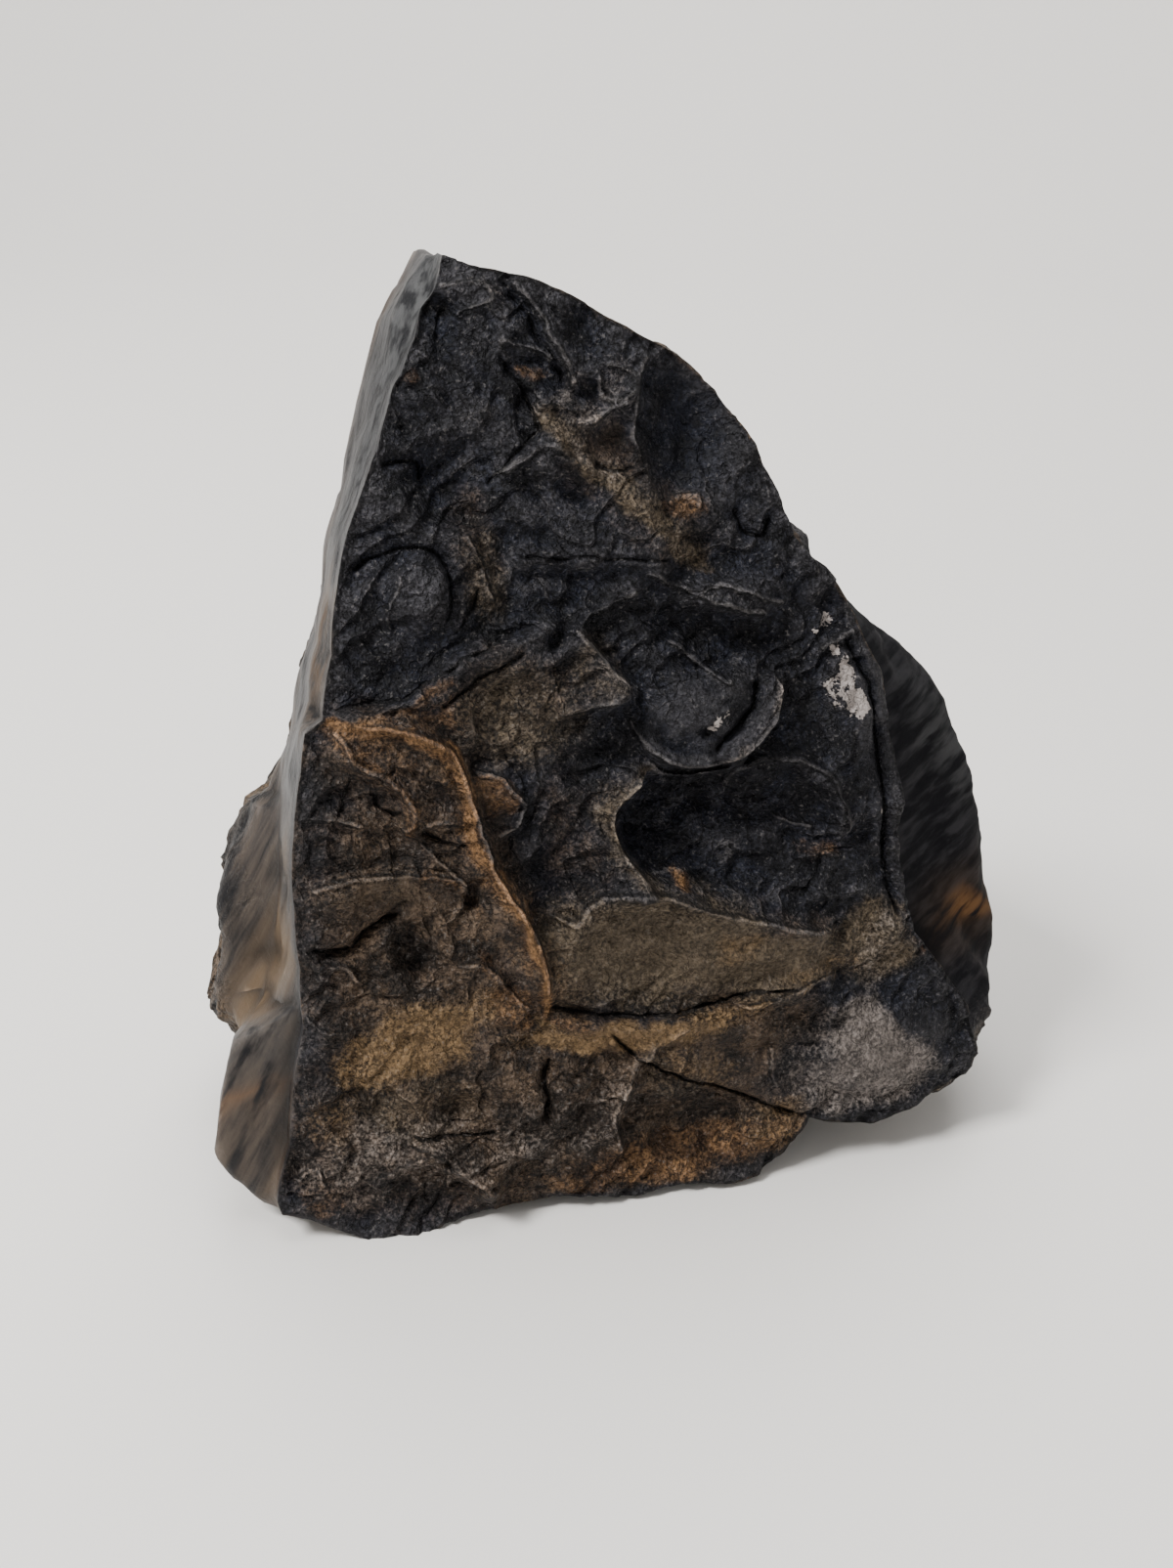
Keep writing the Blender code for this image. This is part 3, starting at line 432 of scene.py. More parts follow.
def roundedPath(path):
    # Corners cut at a sixth and five sixths of each stretch, then again nearer; the ends stay.
    p = np.array(path, float)
    for share in (0.17, 0.25):
        cut = [(1 - share) * p[:-1] + share * p[1:], share * p[:-1] + (1 - share) * p[1:]]
        p = np.vstack([p[:1], np.stack(cut, 1).reshape(-1, 2), p[-1:]])
    return p


def besidePath(s, t, path, reach):
    # The points inside the path's own box, widened by the reach.
    low, high = np.min(path, axis=0) - reach, np.max(path, axis=0) + reach
    return (s > low[0]) & (s < high[0]) & (t > low[1]) & (t < high[1])


def ridgeHeight(s, t, height, left, right, path, taper):
    # Height (1 - d / 2r)^2 beside a path, r being its own on each side; it dies out at both ends.
    out = np.zeros(len(s))
    near = besidePath(s, t, path, 2 * max(left, right))
    d, side, ends = pathDistance(s[near], t[near], path)
    r = np.where(side > 0, left, right)
    out[near] = height * ease(ends, 0, taper) * np.clip(1 - d / (2 * r), 0, 1)**2
    return out


def ovalPlace(s, t, centre, size, turn):
    # Squared distance from the middle of a turned oval, 1 on its rim.
    c, e = np.cos(np.radians(turn)), np.sin(np.radians(turn))
    x = ((s - centre[0]) * c + (t - centre[1]) * e) / size[0]
    y = (-(s - centre[0]) * e + (t - centre[1]) * c) / size[1]
    return x * x + y * y


def ovalDome(s, t, centre, size, turn):
    # 1 - x^2 - y^2 inside a turned oval, 0 outside.
    return np.clip(1 - ovalPlace(s, t, centre, size, turn), 0, 1)


def facePlane(s, t):
    # Places on the face for the noises.
    return np.stack([s, t, s * 0], axis=1)


def wandered(s, t):
    # Places shifted a little by noise, so that no drawn edge is a smooth curve.
    flat = facePlane(s, t)
    return (s + relief["wander"] * smoothNoise(flat + 11, 1.9),
            t + relief["wander"] * smoothNoise(flat + 83, 1.9))


def calmness(s, t):
    # How smooth the broken face is, from 0 to about 0.9.
    calm = np.zeros(len(s))
    for amount, centre, size, turn in calmPlaces:
        calm = np.maximum(calm, amount * ease(ovalDome(s, t, centre, size, turn), 0.0, 0.35))
    return calm


def terraces(height, sharp=0.16):
    # Heights gathered on whole steps, each joined to the next by a short steep rise, less the
    # height itself.
    low = np.floor(height)
    return low + ease(height - low, 1 - sharp, 1.0) - height


def ledgeLevels(s, t):
    # Two slanting, wandering ramps whose whole numbers are the edges of natural ledges, and how
    # much the thin ones show.
    flat = facePlane(s, t)
    broad = (0.15 * (0.9 * t - 0.45 * s) + 1.7 * fractal(flat + 31, 13.0, 3)) / 1.25
    thin = (0.10 * (0.5 * t + 0.85 * s) + 0.9 * fractal(flat + 67, 7.0, 3)) / 0.55
    return broad, thin, (1 - calmness(s, t)) * ease(smoothNoise(flat + 91, 11.0), -0.15, 0.3)


def faceSwell(s, t):
    # The broken face without its relief: a low dome.
    x, y = s - relief["swellCentre"][0], t - relief["swellCentre"][1]
    return relief["swell"] - (x**2 + y**2 * relief["swellTall"]) / relief["swellSpread"]


def faceHeight(s, t):
    # How far the broken face stands out: main ridges and bowls, then flakes, scallops and grit.
    flat = facePlane(s, t)
    s1 = s + relief["bend"] * smoothNoise(flat, 5.0)
    t1 = t + relief["bend"] * smoothNoise(flat + 50, 5.0)
    h = faceSwell(s1, t1)
    for row in mainRidges:
        h += ridgeHeight(s1, t1, *row, 1 / 6)
    for height, *oval in mainHollows:
        h += height * ovalDome(s1, t1, *oval)
    h += relief["lumps"] * smoothNoise(flat, 9.0)
    h += relief["smallLumps"] * smoothNoise(flat + 20, 4.0)
    s2, t2 = wandered(s, t)
    for height, left, right, path in fineEdges.values():
        h += relief["edges"] * ridgeHeight(s2, t2, height, left, right, roundedPath(path), 1 / 9)
    for height, *oval in fineSpots:
        h += height * ovalDome(s2, t2, *oval)
    for height, width, path in rolls:
        d, side, ends = pathDistance(s2, t2, roundedPath(path))
        h += height * ease(ends, 0, 0.12) * np.sqrt(np.clip(1 - (d / width)**2, 0, 1))
    rough = 1 - calmness(s, t)
    broad, thin, share = ledgeLevels(s, t)
    h += relief["ledges"] * rough * terraces(broad)
    h += relief["thinLedges"] * share * terraces(thin, 0.2)
    for size, seed, tilt, turn, stretch, height in relief["chips"]:
        c, e = np.cos(np.radians(turn)), np.sin(np.radians(turn))
        bites = chipScars((s2 * c + t2 * e) / stretch, -s2 * e + t2 * c, size, seed, tilt)
        h += height * (0.2 + 0.8 * rough) * (bites - 0.2 * size)
    return h + (0.3 + 0.7 * rough) * relief["grit"] * fractal(flat + 5, 1.5, 2, 0.6)


def faceFrame():
    # The face's s, t and w directions as rows and its origin, in the upright frame.
    turn, lean = np.radians(stoneForm["turn"]), np.radians(stoneForm["lean"])
    across = np.array([np.cos(turn), np.sin(turn), 0])
    level = np.array([np.sin(turn), -np.cos(turn), 0])
    up = np.array([0, 0, 1.0])
    axes = np.array([across, up * np.cos(lean) - level * np.sin(lean),
                     -level * np.cos(lean) - up * np.sin(lean)])
    return axes, np.array(stoneForm["facePoint"]) - [*stoneForm["centre"], 0]


def toUpright(points):
    # Face frame in millimetres to the upright frame in millimetres.
    axes, origin = faceFrame()
    return origin + points @ axes


def toFace(points):
    # The way back: upright millimetres to s, t, w.
    axes, origin = faceFrame()
    return (points - origin) @ axes.T


def cutBack(points):
    # Points come in along their rays from the hub to the broken faces and scars.
    hub = np.array(stoneForm["hub"])
    ray = points - hub
    keep = np.ones(len(points))
    for normal, place in cleaves:
        n = np.array(normal) / np.linalg.norm(normal)
        rise = ray @ n
        reach = n @ (place - hub) / np.maximum(rise, 1e-6)
        keep = np.minimum(keep, np.where(rise > 1e-6, reach, 1e9))
    for centre, size in scars:
        away = centre - hub
        aa, bb = np.sum(ray * ray, axis=1), ray @ away
        inside = bb * bb - aa * (away @ away - size * size)
        entry = (bb - np.sqrt(np.maximum(inside, 0))) / aa
        keep = np.minimum(keep, np.where((inside > 0) & (entry > 0), entry, 1e9))
    return hub + ray * keep[:, None]


def satinShare(p):
    # 1 on the smooth satin sides: the steep left face, the left flare and the right body.
    s, t, w = p.T
    s1, t1, w1 = (v + 5 * fractal(p + seed, 9.0, 3, 0.55) for v, seed in zip(p.T, (300, 340, 380)))
    left = (s < -18) * ease(w, -1, 2) * ease(w1, 36, 24)
    right = ease(s, 42, 50) * ease(s1, 42, 54) * ease(t1, -62, -46)
    return np.clip(left + right * ease(w, 1, 4) * ease(w1, 50, 32), 0, 1)


def streakNoise(p, side, across, along):
    # Noise drawn out along the streaks of a side.
    d = np.array(sideStreaks[side]) / np.linalg.norm(sideStreaks[side])
    run = (p @ d)[:, None] * d
    return smoothNoise((p - run) / across + run / along, 1.0)


def sideLedges(p):
    # The ramp whose whole numbers are the ledges of the sides and back.
    return fractal(p + 31, 17.0, 3) * 2.3 + 0.05 * (p[:, 1] + p[:, 2])


def sideChips(p, satin):
    # Flake scars of the sides and back: bowls over two of the three directions, which two by depth.
    x, y = p[:, 0] + 2 * smoothNoise(p + 44, 7.0), p[:, 1] + 2 * smoothNoise(p + 88, 7.0)
    back = chipScars(x / 1.4, y, 13.0, 33, 0.30)
    side = chipScars((p[:, 2] + 0.5 * x) / 1.4, y, 11.0, 35, 0.30)
    small = chipScars(x + 0.4 * p[:, 2], y, 3.6, 37, 0.34)
    flatBack = ease(p[:, 2], 26, 44)
    large = back * flatBack + side * (1 - flatBack)
    bites = sideRelief["chips"] * (large - 2.4) + sideRelief["smallChips"] * (small - 0.7)
    return bites * (1 - satin)


def roughenSides(p):
    # Lumps, flakes and streaks of the sides and back, pushed out along the rays from the hub.
    s, t, w = p.T
    ray = p - stoneForm["hub"]
    ray /= np.linalg.norm(ray, axis=1)[:, None]
    satin = satinShare(p)
    r = sideRelief
    lumps = r["lumps"] * smoothNoise(p, 13.0) + r["smallLumps"] * smoothNoise(p + 30, 6.0)
    lumps *= np.clip((w - 3) / 10, 0, 1)
    lumps *= 1 - 0.8 * np.clip(1 - np.abs(w - 14) / 16, 0, 1) * (s < -20)
    detail = terraces(sideLedges(p)) + sideChips(p, satin)
    detail += r["grain"] * fractal(p + 9, 4.0, 3, 0.55)
    detail += r["fineGrain"] * fractal(p + 3, 1.4, 2, 0.6)
    onKnob = (s < -40) * ease(w, 24, 32)
    detail += onKnob * r["knobStreaks"] * streakNoise(p, "flare", 1.6, 22)
    onFlare = ease(w, 2.2, 5.5) * ease(t, 2, -14)
    left = (r["leftStreaks"] * streakNoise(p, "left", 1.5, 30) * (1 - onFlare)
            + r["flareStreaks"] * streakNoise(p, "flare", 2.0, 30) * onFlare)
    right = (r["rightStreaks"] * streakNoise(p, "right", 1.8, 16)
             + r["rightFolds"] * streakNoise(p + 60, "right", 7.0, 40))
    soft = np.where(s < 0, left, right) + r["softLumps"] * smoothNoise(p, 5.0)
    push = lumps + ease(w, 1.0, 5.0) * (detail * (1 - 0.9 * satin) + soft * satin)
    return p + ray * push[:, None]


def setOnFloor(points):
    # What reaches below the floor comes up to it, towards the hub.
    hub = toUpright(np.array([stoneForm["hub"]]))[0]
    ray = points - hub
    keep = np.where(points[:, 2] < 0, -hub[2] / np.minimum(ray[:, 2], -1e-6), 1.0)
    return hub + ray * keep[:, None]


def rimNumbers(n):
    # Points round the edge of a square net in order, and the net's cells.
    number = np.arange((n + 1)**2).reshape(n + 1, n + 1)
    rim = np.concatenate([number[0, :-1], number[:-1, n], number[n, :0:-1], number[:0:-1, 0]])
    cells = np.stack([number[:-1, :-1], number[:-1, 1:], number[1:, 1:], number[1:, :-1]], -1)
    return rim, cells.reshape(-1, 4)


def discNet(n):
    # A square net drawn to a disc, rings of squares becoming circles: share of the way out and
    # direction of each point.
    line = np.linspace(-1, 1, n + 1)
    b, a = [g.ravel() for g in np.meshgrid(line, line, indexing="ij")]
    across = np.where(a < 0, np.pi, 0) + np.pi / 4 * b / np.where(a == 0, 1, a)
    upward = np.where(b < 0, -1, 1) * np.pi / 2 - np.pi / 4 * a / np.where(b == 0, 1, b)
    return np.maximum(np.abs(a), np.abs(b)), np.where(np.abs(a) >= np.abs(b), across, upward)


def fromHub(reach, angle, depth):
    # Points at a distance and direction from the hub, each at its depth.
    hub = stoneForm["hub"]
    return np.stack([hub[0] + reach * np.cos(angle), hub[1] + reach * np.sin(angle),
                     reach * 0 + depth], 1)


def ringsBetween(rings):
    # Four-cornered faces between each ring of points and the next.
    ahead = np.roll(rings, -1, axis=1)
    return np.stack([rings[:-1], rings[1:], ahead[1:], ahead[:-1]], -1).reshape(-1, 4)


def stoneGrid():
    # Front disc, band and back disc as one closed net; the front is w = -height over (s, t).
    n, fine, rows = stoneForm["gridCells"], stoneForm["fineRows"], stoneForm["bandRows"]
    last, deepest = stoneForm["backDepth"], stoneForm["lastSection"]
    q, angle = discNet(n)
    edge = formRadius(angle, np.zeros(len(angle)))
    front = fromHub(q * edge, angle, 0)
    s, t = front[:, 0], front[:, 1]
    height, plain = faceHeight(s, t), faceSwell(s, t)
    # The relief dies down towards the straight left edge.
    atLeft = ease(-np.cos(angle), 0.35, 0.7) * ease((1 - q) * edge, 4.5, 0.0)
    front[:, 2] = -plain - (height - plain) * (1 - 0.8 * atLeft)
    rim, cells = rimNumbers(n)
    start, turnRound = front[rim, 2], angle[rim]
    fineShare = stoneForm["fineStep"] / last
    share = np.concatenate([np.arange(1, fine + 1) * fineShare,
                            np.linspace(fine * fineShare, 1, rows + 1)[1:-1]])
    parts = [front]
    for k, part in enumerate(share):
        keep = slice(None, None, 1 if k < fine else 2)
        depth = start[keep] + (last - start[keep]) * part
        reach = formRadius(turnRound[keep], np.clip(depth, 0, deepest))
        parts.append(fromHub(reach, turnRound[keep], depth))
    q, angle = discNet(n // 2)
    parts.append(fromHub(q * formRadius(angle, np.full(len(angle), deepest)), angle, last))
    first = np.cumsum([0] + [len(part) for part in parts])
    whole = np.vstack([rim[None], first[1] + np.arange(fine * 4 * n).reshape(fine, -1)])
    backRim, backCells = rimNumbers(n // 2)
    halves = np.vstack([first[k] + np.arange(2 * n) for k in range(fine + 1, fine + rows)]
                       + [first[-2] + backRim])
    # One row joins the fine rim to the half as fine one with three triangles to each pair.
    a, b, c = whole[-1][0::2], whole[-1][1::2], np.roll(whole[-1], -1)[1::2]
    d, e = halves[0], np.roll(halves[0], -1)
    joins = np.vstack([np.stack(corners, 1) for corners in ((a, d, b), (b, d, e), (b, e, c))])
    squares = np.vstack([cells, ringsBetween(whole), ringsBetween(halves),
                         first[-2] + backCells[:, ::-1]])
    return np.vstack(parts), squares, joins


def linked(name, data):
    # A new object in the scene.
    ob = bpy.data.objects.new(name, data)
    bpy.context.scene.collection.objects.link(ob)
    return ob


def gridMesh(name, points, squares, joins):
    # Four-cornered and three-cornered faces from whole arrays.
    mesh = bpy.data.meshes.new(name)
    mesh.vertices.add(len(points))
    mesh.vertices.foreach_set("co", points.ravel())
    mesh.loops.add(squares.size + joins.size)
    mesh.loops.foreach_set("vertex_index", np.concatenate([squares.ravel(), joins.ravel()]))
    mesh.polygons.add(len(squares) + len(joins))
    starts = [np.arange(len(squares)) * 4, squares.size + np.arange(len(joins)) * 3]
    mesh.polygons.foreach_set("loop_start", np.concatenate(starts))
    mesh.update(calc_edges=True)
    return mesh


def smoothShaded(mesh):
    mesh.polygons.foreach_set("use_smooth", np.ones(len(mesh.polygons), bool))


def readRows(items, name, width, kind=np.float64):
    # A value of every point or edge of a mesh, one row each.
    rows = np.empty(len(items) * width, kind)
    items.foreach_get(name, rows)
    return rows.reshape(-1, width)


def thinned(mesh, triangles):
    # Edges collapsed where the surface is plain, so the triangles go to the relief.
    holder = linked("holder", mesh)
    thin = holder.modifiers.new("thin", "DECIMATE")
    thin.ratio = triangles / sum(len(face.vertices) - 2 for face in mesh.polygons)
    graph = bpy.context.evaluated_depsgraph_get()
    result = bpy.data.meshes.new_from_object(holder.evaluated_get(graph))
    bpy.data.objects.remove(holder)
    return result


def buildStone():
    # The net in metres, kept inside the CAD box, thinned and set flat on the floor.
    points, squares, joins = stoneGrid()
    points = setOnFloor(toUpright(roughenSides(cutBack(points)))) * 0.001
    low, high = np.array(cadBox)
    points = np.clip(points, low + [2e-5, 2e-5, 0], high - 2e-5)
    print("stone net:", len(points), "points")
    mesh = thinned(gridMesh("stoneNet", points, squares, joins), stoneForm["triangles"])
    co = np.clip(readRows(mesh.vertices, "co", 3), low, high)
    co[:, 2] = np.where(co[:, 2] < 1.5e-4, 0.0, co[:, 2])
    mesh.vertices.foreach_set("co", co.ravel())
    smoothShaded(mesh)
    mesh.set_sharp_from_angle(angle=np.radians(stoneForm["sharpAngle"]))
    mesh.update()
    print("stone:", len(mesh.polygons), "triangles")
    return linked("jetStone", mesh)


def neighbourMean(values, edges, count):
    # Mean of each point's neighbours along the edges.
    a, b = edges.T
    total = [np.bincount(a, v[b], len(v)) + np.bincount(b, v[a], len(v)) for v in values.T]
    return np.stack(total, 1) / count[:, None]


def reliefMasks(mesh):
    # How far each point stands out of a smoothed copy: a few passes for edges, many for hollows.
    co = readRows(mesh.vertices, "co", 3) * 1000
    normal = readRows(mesh.vertices, "normal", 3)
    edges = readRows(mesh.edges, "vertices", 2, np.int32)
    count = np.maximum(np.bincount(edges.ravel(), minlength=len(co)), 1)
    smooth, found = co, []
    for k in range(1, 61):
        smooth = 0.3 * smooth + 0.7 * neighbourMean(smooth, edges, count)
        if k in (3, 14, 60):
            found.append(np.einsum("ij,ij->i", co - smooth, normal))
    return co, normal, *found


def stroke(s, t, reach, path):
    # 1 on a path, falling off as a bell; two reaches are for its left and its right.
    d, side, ends = pathDistance(s, t, path)
    left, right = reach if isinstance(reach, tuple) else (reach, reach)
    return np.exp(-(d / np.where(side > 0, left, right))**2)


def patch(s, t, centre, size, turn, soft=0.6):
    # 1 inside a turned oval, easing to 0 over its outer part.
    return 1 - ease(np.sqrt(ovalPlace(s, t, centre, size, turn)), 1 - soft, 1 + soft)


# Stains of the broken face, with painted highlights along some crests in the pale strokes: patches
# by strength, centre, half sizes and turn, strokes by strength, reach and path.
stains = {
    "umber": {
        "patches": [
            (0.9, (-10, -60), (44, 17), -2), (0.8, (-30, -28), (20, 30), 5),
            (0.6, (-34, 2), (12, 9), 0), (0.7, (-8, -34), (6, 14), 20),
            (0.45, (-14, 10), (13, 11), 0), (0.8, (26, -48), (16, 8), -5),
            (0.5, (16, -71), (24, 8), 3), (0.45, (8, 44), (16, 7), -42),
            (0.5, (24, -34), (24, 8), -8), (0.35, (-17, 33), (5, 12), 0),
            (0.4, (-2, -10), (8, 14), 0)],
        "strokes": [
            (0.8, 5, [(-36, 8), (-24, 4), (-20, -6), (-14, -20), (-9, -38)])],
    },
    "rust": {
        "patches": [
            (0.75, (13, -71.5), (22, 4.5), 3), (0.6, (-14.5, -40), (4, 6), 40),
            (0.95, (16.5, -20.3), (1.7, 1.2), 0), (0.5, (16.8, 40.4), (4, 2.4), 0),
            (0.6, (-15.5, -3.6), (4, 3.4), -40), (0.42, (-35, 4.5), (7, 5), -20),
            (0.45, (-8, 61.5), (2.6, 1.6), 0), (0.5, (-26.2, 61.5), (1.4, 1), 0),
            (0.4, (-10, -30), (4, 12), 20), (0.35, (-24, 10), (7, 4), 25),
            (0.4, (40, -18), (6, 2), -10), (0.4, (60, -36), (3, 4), 0),
            (0.35, (-47, -70), (5, 5), 0)],
        "strokes": [
            (1.1, (0.55, 2.3), [(-41, 9.6), (-34, 9.2), (-29, 8.2), (-24.6, 5.9), (-22.7, 4.5),
                (-21.2, 0.4), (-20.1, -3.6), (-18.6, -9.1), (-17.1, -14), (-15, -19),
                (-12.4, -22.7), (-10.2, -27.1), (-8.6, -34), (-8, -41)]),
            (0.42, 3.6, [(-33, 8.5), (-24.6, 4.5), (-21.5, -3), (-18, -13), (-13.5, -22),
                (-10.5, -32), (-9.5, -40)]),
            (0.6, 1.3, [(-40.5, 8.5), (-39, 4), (-34.4, 1.5), (-30.5, -3), (-30, -8)]),
            (0.55, 1.6, [(-18.8, -31), (-13.6, -38), (-9, -41.8), (0, -44.6)]),
            (0.5, 1.2, [(-37, 10), (-29, 11), (-25, 13.5), (-22, 16)]),
            (0.45, 0.9, [(-28, -16), (-21, -18), (-19, -23)])],
    },
    "ochre": {
        "patches": [
            (0.95, (-29, -44), (9, 6), 15), (0.8, (-38, -47), (7, 5), 0),
            (0.95, (4, -47), (17, 2.6), -1), (0.55, (21, -46), (12, 2.4), 4),
            (0.6, (33, -68), (7, 5), 10), (0.5, (-20, -40), (6, 4), 30),
            (0.5, (25, -33), (5, 4), 0), (0.4, (18, -54), (9, 4), -25),
            (0.35, (-44, -57), (6, 8), 0), (0.35, (40, -40), (10, 3), 5)],
        "strokes": [
            (0.7, 1.5, [(-10, -43), (0, -45.6), (10, -46.2), (20, -45.4), (30, -43.4)])],
    },
    "olive": {
        "patches": [
            (0.95, (10, -32), (20, 10), -6), (0.9, (30, -36.5), (16, 6), -4),
            (0.6, (-3, -35), (6, 8), 0), (0.85, (51.5, -36), (7, 8), 0),
            (0.5, (-12, 9), (12, 9), 10), (0.45, (-15.5, 32), (4, 8), 15),
            (0.4, (-36, -18), (10, 4), -5), (0.4, (0, 15), (6, 7), -45),
            (0.4, (14, -54), (10, 5), -20), (0.45, (-30, -56), (12, 6), 0)],
        "strokes": [
            (0.7, (3.6, 1.4), [(-5, 54), (-1, 48), (6, 43), (12, 37), (19, 31.8)]),
            (0.6, (0.5, 3.4), [(9, -3.2), (5, -5.8), (3.2, -8.6), (4.5, -13.5), (7.5, -18),
                (10.2, -21.6)])],
    },
    "ashAndHighlight": {
        "patches": [
            (0.82, (49, -55), (8, 8), 25), (0.7, (56, -61), (10, 6), 20),
            (0.6, (45, -63), (9, 6), 0), (0.38, (53, -38), (5, 8), -15),
            (0.4, (38, -57), (7, 8), 0), (0.5, (-39, -64), (4, 3.5), 0),
            (0.3, (2, 59), (7, 9), -10), (0.25, (5, -57), (5, 8), 0),
            (0.42, (-33, -64), (20, 9), 0), (0.36, (-8, -62), (18, 8), 0)],
        # The strokes along the roll, the crests and the tip flake are painted highlights; the
        # stroke along the pale vein is its own colour.
        "strokes": [
            (0.4, (0.8, 2), [(22.5, -0.8), (26.5, 1.8), (30, 5.8), (31.6, 10)]),
            (0.36, (1.6, 0.8), [(-6, 56), (-4, 53), (-1, 49), (5, 44.5), (11, 38.5), (19, 31.8)]),
            (0.4, 1.6, [(-1.5, 54), (3, 54.2), (8.8, 57)]),
            (0.32, (0.5, 1.6), [(9, -3.2), (5, -5.8), (3.2, -8.6), (4.5, -13.5), (7.5, -18),
                (10.2, -21.6)]),
            (0.5, (0.5, 1.6), [(-2.3, 22.7), (0, 20), (2, 17.3), (4.8, 14), (7, 12.7)]),
            (0.4, 1, [(-16, 75.4), (-12, 73.2)])],
    },
    "chalk": {
        "patches": [
            (1, (46, 7.4), (2, 2.7), 20), (0.8, (44.6, 12.2), (1.5, 2.6), 10),
            (0.6, (43, 16.5), (1.6, 1.5), 30), (0.6, (41.8, 20.8), (2.2, 1.2), 20),
            (0.5, (43.6, 9), (1.6, 3.4), 20), (0.9, (19.7, 6.1), (0.8, 1.1), 0),
            (0.6, (21.6, 8), (0.8, 0.7), 0), (0.6, (52.5, -13), (1, 1.3), 0)],
        "strokes": [],
    },
}

# Patches of the sides: mask, side, strength, centre and half sizes in (t, w), turn, softness.
sidePatches = [
    ("sideBrown", "left", 0.9, (22, 6), (13, 9), 0, 0.5),
    ("sideBrown", "left", 0.7, (-60, 10), (14, 12), 0, 0.6),
    ("sideBrown", "right", 0.4, (-37, 17), (8, 12), 0, 0.7),
    ("sideOrange", "right", 0.7, (-37, 15), (3.2, 6), 0, 0.95),
    ("sideOrange", "knob", 0.5, (-34, 36), (7, 5), 20, 0.9),
    ("sideOrange", "left", 0.4, (-56, 7), (8, 2.4), -30, 0.9),
    # A painted sheen on the right body.
    ("sideSheen", "right", 0.38, (-4, 17), (11, 5), -20, 0.7),
]

# Edges drawn as one clean line; the others are ragged.
crispEdges = {"brownCrest": 1.0, "hEdge": 1.0, "elbow": 0.9, "bandCrest": 0.6, "thumbFlake": 0.8,
              "fan": 0.5, "noduleRim": 0.7, "curlRim": 0.4, "tipPlateau": 0.4, "bowlRim": 0.4}
lineReach = 1.6


def stainMask(name, s, t):
    # The strongest of a stain's patches and strokes at each point.
    masks = [strength * patch(s, t, *oval) for strength, *oval in stains[name]["patches"]]
    masks += [strength * stroke(s, t, reach, roundedPath(path))
              for strength, reach, path in stains[name]["strokes"]]
    return np.max(masks, axis=0)


def edgeField(s, t, standing):
    # Signed distance to the nearest standing edge or crack, negative on its low side, how near and
    # strong it is, and how clean its line.
    s2, t2 = wandered(s, t)
    signed, near, crisp = np.full(len(s), lineReach), np.zeros(len(s)), np.zeros(len(s))
    for name, (height, left, right, path) in fineEdges.items():
        if (height > 0) != standing:
            continue
        p = roundedPath(path)
        close = besidePath(s2, t2, p, 2)
        d, side, ends = pathDistance(s2[close], t2[close], p)
        here = min(1.0, abs(height) / 1.1) * ease(ends, 0, 0.1) * np.clip(1 - d / lineReach, 0, 1)
        take = here > near[close]
        spot = np.flatnonzero(close)[take]
        near[spot] = here[take]
        signed[spot] = (d * np.where(left < right, -side, side))[take]
        crisp[spot] = crispEdges.get(name, 0.0)
    return signed, near, crisp


def keepValues(mesh, values):
    # Named values on every point, for the material to read.
    for name, value in values.items():
        layer = mesh.attributes.new(name, "FLOAT", "POINT")
        layer.data.foreach_set("value", value.astype(np.float32))


